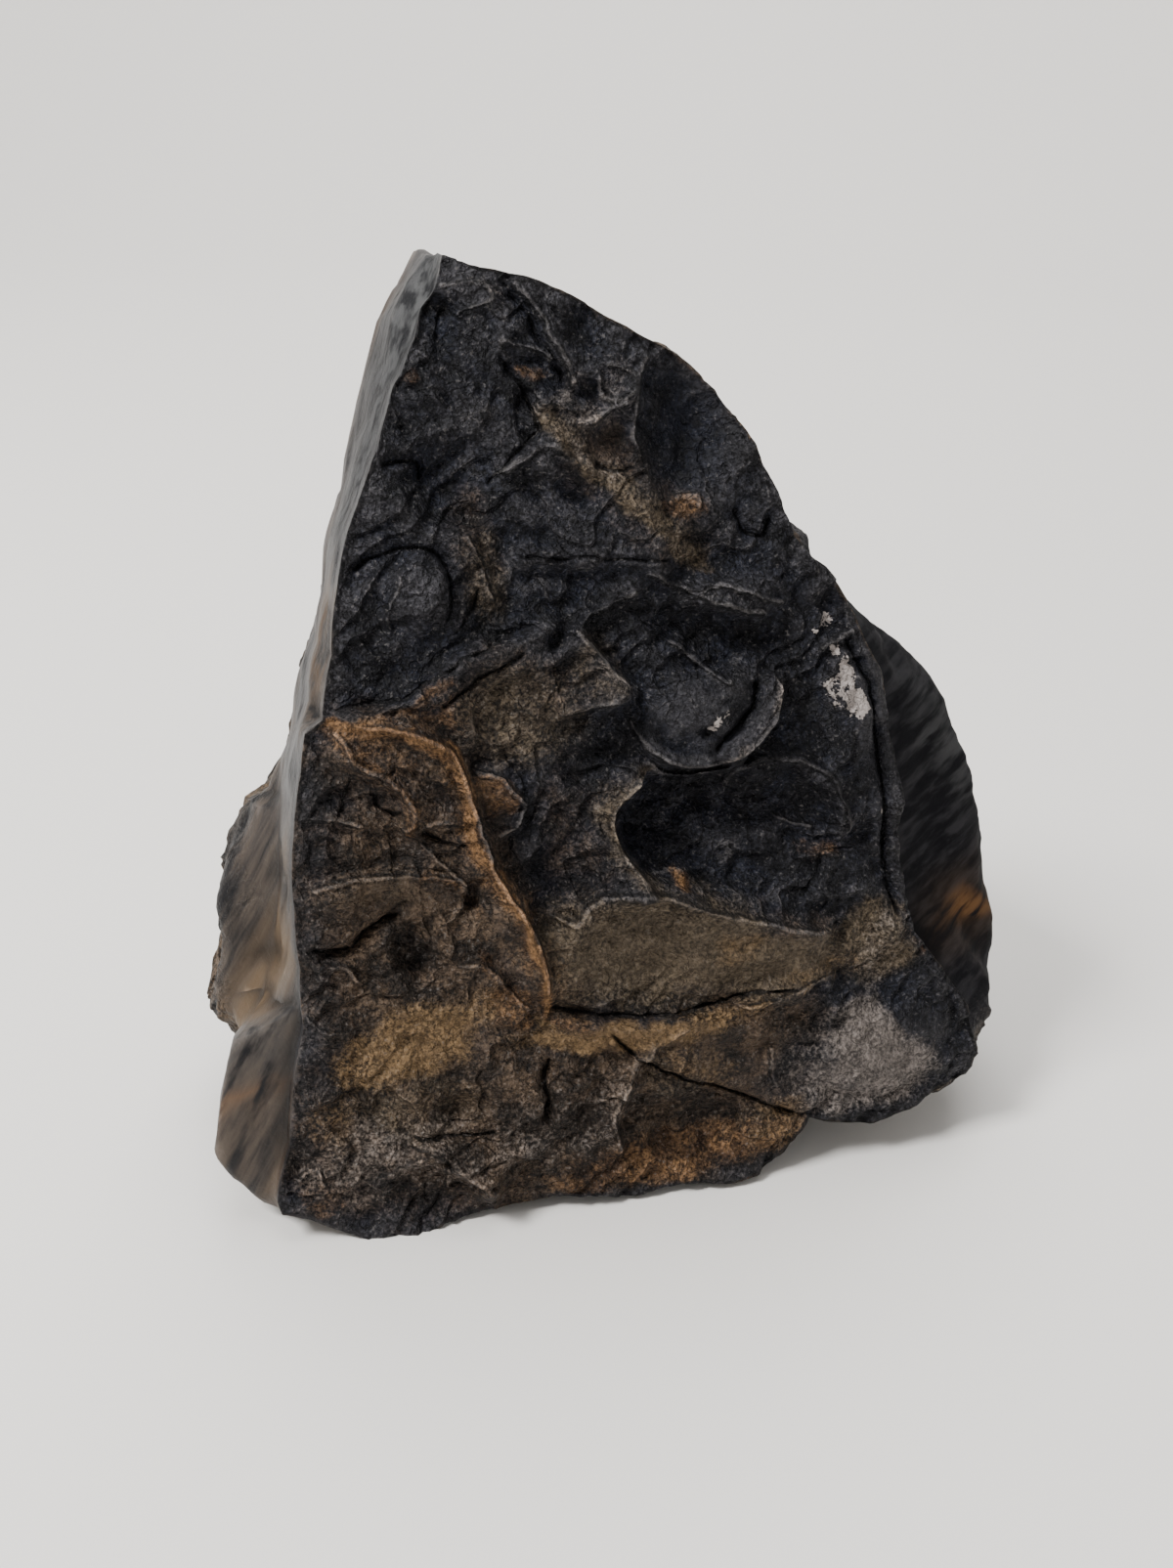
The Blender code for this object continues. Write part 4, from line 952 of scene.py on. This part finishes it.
def paintStone(stone):
    # Every mask and ramp that the material reads.
    co, normal, fine, middle, broad = reliefMasks(stone.data)
    p = toFace(co)
    s, t, w = p.T
    x, y = (p[:, :2] - stoneForm["hub"][:2]).T
    edge = formRadius(np.arctan2(y, x), np.zeros(len(s)))
    front = ease(edge - np.hypot(x, y), -0.2, 0.9) * ease(w, 12, 8)
    flat = facePlane(s, t)
    s1 = s + 1.4 * smoothNoise(flat + 17, 4.5) + 0.6 * smoothNoise(flat + 71, 1.6)
    t1 = t + 1.4 * smoothNoise(flat + 29, 4.5) + 0.6 * smoothNoise(flat + 53, 1.6)
    satin = satinShare(p) * (1 - front)
    slow, slower = fractal(p + 140, 22.0, 3), fractal(p + 190, 38.0, 3)
    sideStains = {
        "umber": 0.75 * ease(slower, -0.05, 0.45),
        "rust": 0.55 * ease(slow + 0.4 * slower, 0.45, 0.95),
        "ochre": 0.45 * ease(fractal(p + 230, 16.0, 3), 0.55, 1.0),
        "olive": 0.5 * ease(slow, -0.15, -0.65),
        # On the sides this pale stain lies only where the surface faces up.
        "ashAndHighlight": 0.5 * ease(normal[:, 2], 0.1, 0.9) * ease(slower, 0.1, -0.4),
    }
    bare = (1 - front) * (1 - satin)
    masks = {name: front * stainMask(name, s1, t1) + bare * sideStains.get(name, 0)
             for name in stains}
    edgeSide, edgeNear, crisp = edgeField(s, t, True)
    crackSide, crackNear = edgeField(s, t, False)[:2]
    broadLevel, thinLevel, thinShare = ledgeLevels(s, t)
    onFront, calm = front > 0.5, calmness(s, t)
    fineLow, fineHigh = np.percentile(fine[onFront], (91, 99.6))
    sunkLow, sunkHigh = np.percentile(-middle[onFront], (70, 99))
    masks.update({
        "crisp": crisp, "edgeNear": front * edgeNear, "crackNear": front * crackNear,
        "ledgeShare": np.where(onFront, ease(front, 0.6, 1) * (1 - calm),
                               ease(front, 0.4, 0) * (1 - satin)),
        "thinShare": front * thinShare, "front": front, "calm": front * calm, "satin": satin,
        "gloss": satin * ease(s, 20, 0), "rightBody": ease(s, 10, 30),
        "edgeWear": (fine - fineLow) / (fineHigh - fineLow), "lifted": 0.5 + broad * 0.28,
        # Painted shade: how far a point lies below its smoothed surroundings, to darken the
        # hollows.
        "sunkShade": (-middle - sunkLow) / (sunkHigh - sunkLow),
    })
    t = t + 3.5 * fractal(p + 200, 12.0, 2)
    w = w + 2.5 * fractal(p + 240, 8.0, 2) * ease(w, 2, 8)
    sides = {"left": (1 - front) * (s < -18) * ease(w, 34, 26),
             "right": (1 - front) * (s > 44) * ease(w, 44, 34),
             "knob": (1 - front) * (s < -40) * ease(w, 22, 30)}
    left, knob = sides["left"], sides["knob"]
    masks["flare"] = np.maximum(left * ease(w, 2.2, 5.5) * ease(t, 2, -14) * ease(s, -38, -43),
                                knob * ease(t, 8, -4))
    masks["sideBrown"] = np.maximum(left * 0.6 * ease(w, 12, 22), knob * 0.8)
    masks["sideOrange"] = 0 * s
    # Painted sheen on the left satin side, paler towards the top and the front edge.
    masks["sideSheen"] = left * (0.65 * ease(t, -10, 30) * ease(w, 20, 2)
                                + 0.35 * patch(t, w, (-20, 6), (34, 7), 0, 0.5))
    for name, side, strength, *oval in sidePatches:
        masks[name] = np.maximum(masks[name], sides[side] * strength * patch(t, w, *oval))
    keepValues(stone.data, {name: np.clip(mask, 0, 1) for name, mask in masks.items()})
    keepValues(stone.data, {"edgeSide": edgeSide, "crackSide": crackSide, "thinLevel": thinLevel,
                            "ledgeLevel": np.where(onFront, broadLevel, sideLedges(p))})
    print("stone painted")


class NodeMaker:
    # Adds nodes to one tree; an input is a number, a colour or another socket.
    def __init__(self, tree):
        self.tree = tree

    def give(self, socket, value):
        if isinstance(value, bpy.types.NodeSocket):
            self.tree.links.new(value, socket)
        else:
            socket.default_value = value

    def add(self, kind, inputs, output=0, **settings):
        node = self.tree.nodes.new("ShaderNode" + kind)
        for key, value in settings.items():
            setattr(node, key, value)
        for key, value in inputs.items():
            self.give(node.inputs[key], value)
        return node.outputs[output]

    def group(self, group, inputs):
        return self.add("Group", inputs, node_tree=group).node.outputs

    def chain(self, operation, value, others):
        for other in others:
            value = self.add("Math", {0: value, 1: other}, operation=operation)
        return value

    def times(self, value, *others):
        return self.chain("MULTIPLY", value, others)

    def plus(self, value, *others):
        return self.chain("ADD", value, others)

    def less(self, value, *others):
        return self.chain("SUBTRACT", value, others)

    def most(self, value, *others):
        return self.chain("MAXIMUM", value, others)

    def weighed(self, *pairs):
        # Sum of values, each times its weight.
        return self.plus(*(self.times(value, weight) for value, weight in pairs))

    def spread(self, value, low, high):
        # Stretches low..high to 0..1 with soft ends.
        return self.add("MapRange", {"Value": value, "From Min": low, "From Max": high},
                        interpolation_type="SMOOTHSTEP")

    def mask(self, name):
        return self.add("Attribute", {}, "Fac", attribute_name=name)

    def noise(self, place, scale, detail=4.0, rough=0.62):
        return self.add("TexNoise", {"Vector": place, "Scale": scale, "Detail": detail,
                                     "Roughness": rough})

    def mix(self, share, under, over, kind="RGBA", blend="MIX"):
        # Two values, places or colours mixed by a share.
        first = {"FLOAT": 2, "VECTOR": 4, "RGBA": 6}[kind]
        return self.add("Mix", {0: share, first: under, first + 1: over}, first // 2 - 1,
                        data_type=kind, blend_type=blend)


def newGroup(name, labels):
    # A shader group with named inputs: Vector is a place, the others are numbers.
    tree = bpy.data.node_groups.new(name, "ShaderNodeTree")
    for label in labels:
        kind = "NodeSocketVector" if label == "Vector" else "NodeSocketFloat"
        tree.interface.new_socket(label, in_out="INPUT", socket_type=kind)
    return NodeMaker(tree), tree.nodes.new("NodeGroupInput").outputs


def closedGroup(n, results):
    # The group with its named results, all numbers.
    for label in results:
        n.tree.interface.new_socket(label, in_out="OUTPUT", socket_type="NodeSocketFloat")
    end = n.tree.nodes.new("NodeGroupOutput")
    for label, value in results.items():
        n.give(end.inputs[label], value)
    return n.tree


def brokenStainGroup():
    # A painted mask eaten into by two noises, so its edge is ragged and its inside mottled.
    n, given = newGroup("brokenStain", ("Mask", "Coarse", "Fine", "Ragged", "Softness"))
    eaten = n.less(n.weighed((given["Coarse"], 0.65), (given["Fine"], 0.35)), 0.5)
    value = n.plus(given["Mask"], n.times(eaten, given["Ragged"], 2.0))
    shown = n.spread(value, n.less(0.5, given["Softness"]), n.plus(0.5, given["Softness"]))
    return closedGroup(n, {"Mask": n.times(shown, n.spread(given["Mask"], 0.02, 0.25))})


def ledgeGroup():
    # A ramp cut into steps: height of the saw tooth left when the ramp is taken away, the painted
    # highlight just past each whole number and the painted shadow at the foot of its rise.
    n, given = newGroup("ledgeSteps", ("Level", "Rise", "Line"))
    part = n.add("Math", {0: given["Level"]}, operation="FRACT")
    foot = n.less(1.0, given["Rise"])
    shade = n.times(n.spread(part, n.less(foot, given["Rise"]), foot), n.spread(part, 1.0, foot))
    return closedGroup(n, {"Height": n.less(n.spread(part, foot, 1.0), part), "FootShadow": shade,
                           "EdgeHighlight": n.spread(part, given["Line"], 0.0)})


# Scales of the grit and its chips per metre, warp in metres, and heights in millimetres.
gritForm = {"chips": 420.0, "grain": 1500.0, "warp": 0.0012, "levels": ((1.0, 0.45), (2.6, 0.30)),
            "chipHeight": 0.75, "lumpHeight": 0.95, "grainHeight": 0.45, "leafHeight": 0.50}


def stoneGritGroup(ledgeSteps):
    # Grain of the broken face: chips at mixed levels, lumps and grain for the height; dark pores,
    # light specks, a slow mottle, and the painted highlights on the edges and painted shadows at
    # the feet of its leafy steps as masks.
    n, given = newGroup("stoneGrit", ("Vector",))
    place, chips, grain = given["Vector"], gritForm["chips"], gritForm["grain"]
    bend = n.add("TexNoise", {"Vector": place, "Scale": chips, "Detail": 0.0}, "Color")
    shift = n.add("VectorMath", {0: bend, 1: (0.5, 0.5, 0.5)}, operation="SUBTRACT")
    shift = n.add("VectorMath", {0: shift, "Scale": gritForm["warp"]}, operation="SCALE")
    bent = n.add("VectorMath", {0: place, 1: shift}, operation="ADD")
    levels = []
    for scale, share in gritForm["levels"]:
        cells = n.add("TexVoronoi", {"Vector": bent, "Scale": chips * scale}, "Color")
        levels.append((n.add("SeparateColor", {"Color": cells}), share))
    lumps, fine = n.noise(place, grain * 0.4, 2.0, 0.65), n.noise(place, grain, 2.0, 0.7)
    leaves = n.group(ledgeSteps, {"Rise": 0.22, "Line": 0.10, "Level": n.times(
        n.noise(place, chips * 0.45, 4.0, 0.55), 8.0)})
    height = n.weighed(
        (n.weighed(*levels), gritForm["chipHeight"]), (lumps, gritForm["lumpHeight"]),
        (fine, gritForm["grainHeight"]), (leaves["Height"], gritForm["leafHeight"]))
    return closedGroup(n, {
        "Height": height,
        "Specks": n.times(n.spread(fine, 0.56, 0.70), n.spread(lumps, 0.42, 0.60)),
        "Pores": n.spread(n.weighed((lumps, 0.6), (fine, 0.4)), 0.50, 0.38),
        "Mottle": n.noise(place, chips * 0.32, 5.0, 0.68), "Grain": fine,
        "Edges": leaves["EdgeHighlight"], "FootShadows": leaves["FootShadow"]})


# Size of the woody streaks in metres and how they are turned.
streakForm = {"straight": ((0.0019, 0.0019, 0.028), (0, 0, 0)),
              "flare": ((0.0026, 0.0026, 0.030), (-0.428, 0, -1.64)),
              "right": ((0.0026, 0.0026, 0.020), (-1.412, 0, -0.509))}


def streakGroup():
    # Woody streaks: the place is turned and divided by a size for each direction and fed to noise,
    # one way on the straight left side, others on the flare behind it and on the right body.
    n, given = newGroup("woodyStreaks", ("Vector", "Flare", "Right"))
    straight, flare, right = (n.add("Mapping", {
        "Vector": given["Vector"], "Rotation": turn, "Scale": size}, vector_type="TEXTURE")
        for size, turn in streakForm.values())
    place = n.mix(given["Right"], straight, right, "VECTOR")
    return closedGroup(n, {
        name: n.mix(given["Flare"], n.noise(place, scale, detail, 0.6),
                    n.noise(flare, scale, detail, 0.6), "FLOAT")
        for name, scale, detail in (("Streaks", 1.0, 3.0), ("Broad", 0.25, 1.0))})


stoneColours = {
    "umber": (0.070, 0.047, 0.030, 1), "umberDark": (0.022, 0.016, 0.012, 1),
    "black": (0.0066, 0.0067, 0.0090, 1), "blueBlack": (0.0095, 0.0112, 0.0190, 1),
    "film": (0.027, 0.026, 0.0295, 1), "paleFilmAndHighlight": (0.118, 0.111, 0.108, 1),
    "rust": (0.142, 0.078, 0.036, 1), "darkRust": (0.045, 0.025, 0.014, 1),
    "ochre": (0.142, 0.090, 0.044, 1), "olive": (0.079, 0.060, 0.040, 1),
    "ashAndHighlight": (0.168, 0.144, 0.130, 1), "chalk": (0.34, 0.305, 0.29, 1),
    "satinDark": (0.0065, 0.0067, 0.0082, 1), "satin": (0.024, 0.0235, 0.0265, 1),
    "satinPale": (0.082, 0.084, 0.085, 1), "deep": (0.003, 0.003, 0.0035, 1),
    "flareGrey": (0.066, 0.053, 0.043, 1), "flareTan": (0.086, 0.058, 0.034, 1),
    "sideBrown": (0.055, 0.034, 0.019, 1), "sideOrange": (0.140, 0.070, 0.029, 1),
    "wornLitTint": (2.6, 2.5, 2.35, 1),
}

# Stains from the lowest up, the pale one carrying painted crest highlights: the noise that breaks
# each, its raggedness, softness and strength.
stainLayers = {"umber": ("broad", 0.8, 0.35, 0.9), "olive": ("broadTurned", 0.8, 0.35, 0.9),
               "ochre": ("small", 0.7, 0.34, 0.85), "rust": ("smallTurned", 0.8, 0.30, 0.9),
               "ashAndHighlight": ("broad", 0.9, 0.28, 0.7), "chalk": ("tears", 1.3, 0.05, 0.92)}

# How dark the painted shade in hollows, under edges and at the feet of steps, the cracks and the
# pores are, and how pale the worn edges and the painted highlights on crests and step edges are.
darkness = {"sunkShade": 0.7, "edgeShade": 0.75, "crack": 0.85, "pores": 0.6, "leafFootShadow": 0.45,
            "ledgeFootShadow": 0.6, "thinFootShadow": 0.5}
paleness = {"wornEdges": 0.55, "leafEdgeHighlight": 0.30, "ledgeEdgeHighlight": 0.5, "mottle": 1.6, "film": 0.4,
            "wornAndLit": 0.85, "specks": 0.6}
# How dull and shiny the surface is, and heights of the bump in millimetres.
surface = {"dull": 0.48, "dullMottle": 0.30, "dullRight": 0.15, "gloss": 0.24, "glossStreaks": 0.34,
           "specular": 0.14, "lessOnRight": 0.11, "streakHeight": 0.25, "ledgeHeight": 0.55,
           "thinHeight": 0.32, "edgeHeight": 0.45, "crackDepth": 0.40, "bumpDistance": 0.001}


def stoneMaterial():
    # Charcoal jet under a paler film, stained brown, ochre and olive, with worn edges, painted
    # highlights on crests and step edges, painted shade in hollows, under edges and at the feet of
    # steps, and a painted sheen on the satin sides.
    mat = bpy.data.materials.new("roughJet")
    mat.use_nodes = True
    n = NodeMaker(mat.node_tree)
    times, plus, less, most, spread, mix = n.times, n.plus, n.less, n.most, n.spread, n.mix
    c, place = stoneColours, n.add("TexCoord", {}, "Object")
    mask = {name: n.mask(name) for name in (
        "front", "satin", "calm", "lifted", "edgeWear", "sunkShade", "crisp", "edgeSide", "edgeNear",
        "crackSide", "crackNear", "ledgeLevel", "ledgeShare", "thinLevel", "thinShare", "rightBody",
        "gloss", "flare", "sideBrown", "sideOrange", "sideSheen", *stains)}
    front, satin, calm, sunkShade, crisp = (mask[k] for k in ("front", "satin", "calm", "sunkShade", "crisp"))
    ledgeSteps, stainBreak = ledgeGroup(), brokenStainGroup()
    grit = n.group(stoneGritGroup(ledgeSteps), {"Vector": place})
    streaks = n.group(streakGroup(), {"Vector": place, "Flare": mask["flare"],
                                      "Right": mask["rightBody"]})
    woody, broadWoody, mottle = streaks["Streaks"], streaks["Broad"], grit["Mottle"]
    broad, small, tears = n.noise(place, 140.0), n.noise(place, 240.0), n.noise(place, 620.0, 2.0)
    noises = {"broad": broad, "broadTurned": less(1.0, broad), "small": small,
              "smallTurned": less(1.0, small), "tears": tears}

    def stained(colour, name, over):
        kind, ragged, softness, strength = stainLayers[name]
        share = n.group(stainBreak, {
            "Mask": mask[name], "Coarse": noises[kind], "Fine": grit["Grain"],
            "Ragged": ragged, "Softness": softness})["Mask"]
        return mix(times(share, strength), colour, over)

    # Standing edges: painted highlight line above, painted shadow below; cracks; natural ledges.
    ragged = less(tears, 0.5)
    edgeSide = plus(mask["edgeSide"], times(ragged, less(1.1, times(crisp, 0.75))))
    edgeNear, crackNear = (spread(mask[k], 0.30, 0.62) for k in ("edgeNear", "crackNear"))
    shown = spread(mottle, 0.40, 0.60)
    edgeHighlight = times(edgeNear, spread(edgeSide, -0.12, 0.10), spread(edgeSide, 1.0, 0.10),
                     plus(0.40, times(most(shown, crisp), 0.50)))
    edgeShade = times(edgeNear, spread(edgeSide, -0.75, -0.35), spread(edgeSide, -0.02, -0.2))
    crackWidth = n.add("Math", {0: plus(mask["crackSide"], ragged)}, operation="ABSOLUTE")
    crack = times(crackNear, spread(crackWidth, 0.34, 0.10))
    ledges = n.group(ledgeSteps, {"Level": plus(mask["ledgeLevel"], times(ragged, 0.4)),
                                  "Rise": 0.08, "Line": 0.06})
    thinSteps = n.group(ledgeSteps, {"Level": plus(mask["thinLevel"], times(ragged, 0.6)),
                                     "Rise": 0.14, "Line": 0.06})
    # A paler film on what stands out, thin in the hollows, and the stains over it.
    colour = mix(spread(mottle, 0.42, 0.60), c["black"], c["blueBlack"])
    film = n.weighed((mottle, 1.3), (mask["lifted"], 0.8))
    colour = mix(times(spread(film, 0.92, 1.32), 0.85), colour, c["film"])
    stripe = spread(mask["rust"], 0.72, 0.95)
    rust = mix(most(stripe, spread(mottle, 0.38, 0.60)), c["darkRust"], c["rust"])
    for name, over in (("umber", mix(shown, c["umberDark"], c["umber"])), ("olive", c["olive"]),
                       ("ochre", c["ochre"]), ("rust", rust), ("ashAndHighlight", c["ashAndHighlight"])):
        colour = stained(colour, name, over)
    # Satin sides, each colour in its own part of the streaks, with a painted sheen on them.
    side = mix(spread(woody, 0.42, 0.68), c["satinDark"], c["satin"])
    orange = times(spread(mask["sideOrange"], 0.1, 0.8), 0.9)
    brownWoody, greyWoody = (n.weighed((woody, 0.6), (broadWoody, k)) for k in (0.5, 0.4))
    for name, share, streak, low, high in (
            ("satinPale", mask["sideSheen"], woody, 0.36, 0.60),
            ("sideBrown", mask["sideBrown"], brownWoody, 0.46, 0.66),
            ("flareGrey", mask["flare"], greyWoody, 0.34, 0.60),
            ("flareTan", mask["flare"], broadWoody, 0.48, 0.68),
            ("sideOrange", orange, woody, 0.30, 0.55)):
        side = mix(times(share, spread(streak, low, high)), side, c[name])
    sideShare = n.chain("MINIMUM", plus(satin, mask["sideBrown"]), (1.0,))
    colour = mix(times(less(1.0, front), sideShare), colour, side)
    # Grain light and dark, black pores, painted shade in hollows, under edges and at the feet of
    # steps, pale worn edges with painted highlights on crests and step edges, and specks of dust.
    grain = n.add("MapRange", {"Value": grit["Grain"], "From Min": 0.34, "From Max": 0.66,
                               "To Min": 0.40, "To Max": 1.8})
    grain = mix(most(satin, times(calm, 0.7)), grain, 1.0, "FLOAT")
    colour = n.add("VectorMath", {0: colour, "Scale": grain}, operation="SCALE")
    broken = times(less(1.0, satin, times(calm, 0.6)), less(1.0, times(stripe, 0.7)))
    dark = most(*(times(*parts, darkness[name]) for name, parts in {
        "sunkShade": (sunkShade,), "edgeShade": (edgeShade,), "crack": (crack,),
        "pores": (grit["Pores"], broken), "leafFootShadow": (grit["FootShadows"], broken),
        "ledgeFootShadow": (ledges["FootShadow"], mask["ledgeShare"], shown),
        "thinFootShadow": (thinSteps["FootShadow"], mask["thinShare"])}.items()))
    colour = mix(dark, colour, c["deep"])
    wearAndHighlight = most(times(mask["edgeWear"], paleness["wornEdges"]), edgeHighlight,
                times(grit["Edges"], broken, shown, paleness["leafEdgeHighlight"]),
                times(ledges["EdgeHighlight"], mask["ledgeShare"], shown, paleness["ledgeEdgeHighlight"]))
    wearAndHighlight = spread(plus(wearAndHighlight, times(less(mottle, 0.5), paleness["mottle"])), 0.15, 0.85)
    # Worn edges and painted highlights: a brighter copy of the colour, partly pale film.
    wornAndLit = mix(1.0, colour, c["wornLitTint"], blend="MULTIPLY")
    wornAndLit = mix(paleness["film"], wornAndLit, c["paleFilmAndHighlight"])
    colour = mix(times(wearAndHighlight, less(1.0, times(sunkShade, 0.8)), paleness["wornAndLit"]), colour, wornAndLit)
    colour = mix(times(grit["Specks"], broken, paleness["specks"]), colour, c["paleFilmAndHighlight"])
    colour = stained(colour, "chalk", c["chalk"])
    # The broken face is dull, the satin sides shine softly.
    onRight = times(satin, mask["rightBody"])
    dull = plus(surface["dull"], times(mottle, surface["dullMottle"]),
                times(onRight, surface["dullRight"]))
    gloss = plus(surface["gloss"], times(woody, surface["glossStreaks"]))
    # Bump in millimetres: grit, steps and cracks on the broken face, streaks on the satin sides.
    height = plus(
        times(grit["Height"], less(1.0, times(satin, 0.94), times(calm, 0.45))),
        times(woody, satin, surface["streakHeight"]),
        times(ledges["Height"], mask["ledgeShare"], surface["ledgeHeight"]),
        times(thinSteps["Height"], mask["thinShare"], surface["thinHeight"]),
        times(edgeNear, spread(edgeSide, -0.30, 0.12), surface["edgeHeight"]))
    bump = n.add("Bump", {"Strength": 1.0, "Distance": surface["bumpDistance"],
                          "Height": less(height, times(crack, surface["crackDepth"]))})
    shader = mat.node_tree.nodes["Principled BSDF"].inputs
    for name, value in (("Base Color", colour), ("Normal", bump),
                        ("Roughness", mix(mask["gloss"], dull, gloss, "FLOAT")),
                        ("Specular IOR Level", less(surface["specular"],
                                                    times(onRight, surface["lessOnRight"])))):
        n.give(shader[name], value)
    return mat


# The round studio in metres: flat floor, radius of the bend, height of the wall.
stage = {"floorReach": 1.2, "bend": 1.3, "height": 1.5, "paint": (0.78, 0.765, 0.745, 1),
         "roughness": 0.9}


def buildStage():
    # Flat floor, a quarter circle up and a wall, drawn as a profile turned about Z.
    bend, reach = stage["bend"], stage["floorReach"]
    arc = np.linspace(0, np.pi / 2, 24)
    r = np.concatenate([[0.02, 0.3, 0.8], reach + bend * np.sin(arc), [reach + bend]])[:, None]
    z = np.concatenate([[0, 0, 0], bend - bend * np.cos(arc), [stage["height"]]])[:, None]
    turn = np.linspace(0, 2 * np.pi, 97)[:-1]
    points = np.stack([r * np.cos(turn), r * np.sin(turn), z + 0 * turn], -1).reshape(-1, 3)
    rings = np.arange(len(points)).reshape(len(r), -1)
    cap = np.stack([np.full(len(turn), len(points)), rings[0], np.roll(rings[0], -1)], 1)
    mesh = gridMesh("roundStudio", np.vstack([points, np.zeros((1, 3))]), ringsBetween(rings), cap)
    smoothShaded(mesh)
    studio = linked("roundStudio", mesh)
    paint = bpy.data.materials.new("palePaint")
    paint.use_nodes = True
    shader = paint.node_tree.nodes["Principled BSDF"].inputs
    shader["Base Color"].default_value = stage["paint"]
    shader["Roughness"].default_value = stage["roughness"]
    mesh.materials.append(paint)
    print("stage ready")


studioLights = {
    "keyWindow": {"place": (-0.60, -0.42, 0.90), "aim": (0, 0, 0.07), "size": 0.30, "power": 18.0,
                  "colour": (1.0, 0.985, 0.96)},
    "overhead": {"place": (0.0, 0.1, 2.3), "aim": (0, 0, 0), "size": 1.3, "power": 17.0,
                 "colour": (1.0, 0.99, 0.975)},
    "backdropWash": {"place": (0.0, 1.1, 1.7), "aim": (0, 1.6, 0.0), "size": 1.2, "power": 34.0,
                     "colour": (1.0, 0.985, 0.965)},
    "leftWindow": {"place": (-1.05, 0.10, 0.55), "aim": (0, 0, 0.08), "size": 0.6, "power": 2.2,
                   "colour": (0.97, 0.985, 1.0)},
}
worldLight = {"Color": (1.0, 0.985, 0.965, 1), "Strength": 0.42}


def placed(ob, right, up, back, place):
    # An object set by the directions of its X, Y and Z and its place.
    matrix = np.eye(4)
    matrix[:3] = np.stack([right, up, back, place], 1)
    ob.matrix_world = mathutils.Matrix(matrix)


def addLights():
    # Square lamps, each turned so that its -Z looks at its aim, and the world's even light.
    for name, values in studioLights.items():
        lamp = bpy.data.lights.new(name, "AREA")
        lamp.shape = "SQUARE"
        lamp.size, lamp.energy, lamp.color = values["size"], values["power"], values["colour"]
        back = np.subtract(values["place"], values["aim"])
        back /= np.linalg.norm(back)
        right = np.cross([0, 0, 1.0], back)
        right /= np.linalg.norm(right)
        placed(linked(name, lamp), right, np.cross(back, right), back, values["place"])
    world = bpy.data.worlds.new("studio")
    world.use_nodes = True
    for name, value in worldLight.items():
        world.node_tree.nodes["Background"].inputs[name].default_value = value
    bpy.context.scene.world = world


camera = {"eye": (-0.00486, -0.2739, 0.18502), "pitch": 24.3, "roll": 2.0, "lens": 38.15,
          "sensor": 36.0, "clipStart": 0.01}


def addCamera():
    # It looks along +Y, tipped down by the pitch and turned about its own axis by the roll.
    c, s = np.cos(np.radians(camera["roll"])), np.sin(np.radians(camera["roll"]))
    cp, sp = np.cos(np.radians(camera["pitch"])), np.sin(np.radians(camera["pitch"]))
    data = bpy.data.cameras.new("camera")
    data.lens, data.sensor_width = camera["lens"], camera["sensor"]
    data.clip_start = camera["clipStart"]
    ob = linked("camera", data)
    placed(ob, (c, s * sp, s * cp), (-s, c * sp, c * cp), (0, -cp, sp), camera["eye"])
    bpy.context.scene.camera = ob
    print("camera and lights ready")


buildStage()
addLights()
addCamera()
stone = buildStone()
paintStone(stone)
stone.data.materials.clear()
stone.data.materials.append(stoneMaterial())
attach(stone, "root")
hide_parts("rough_jet")
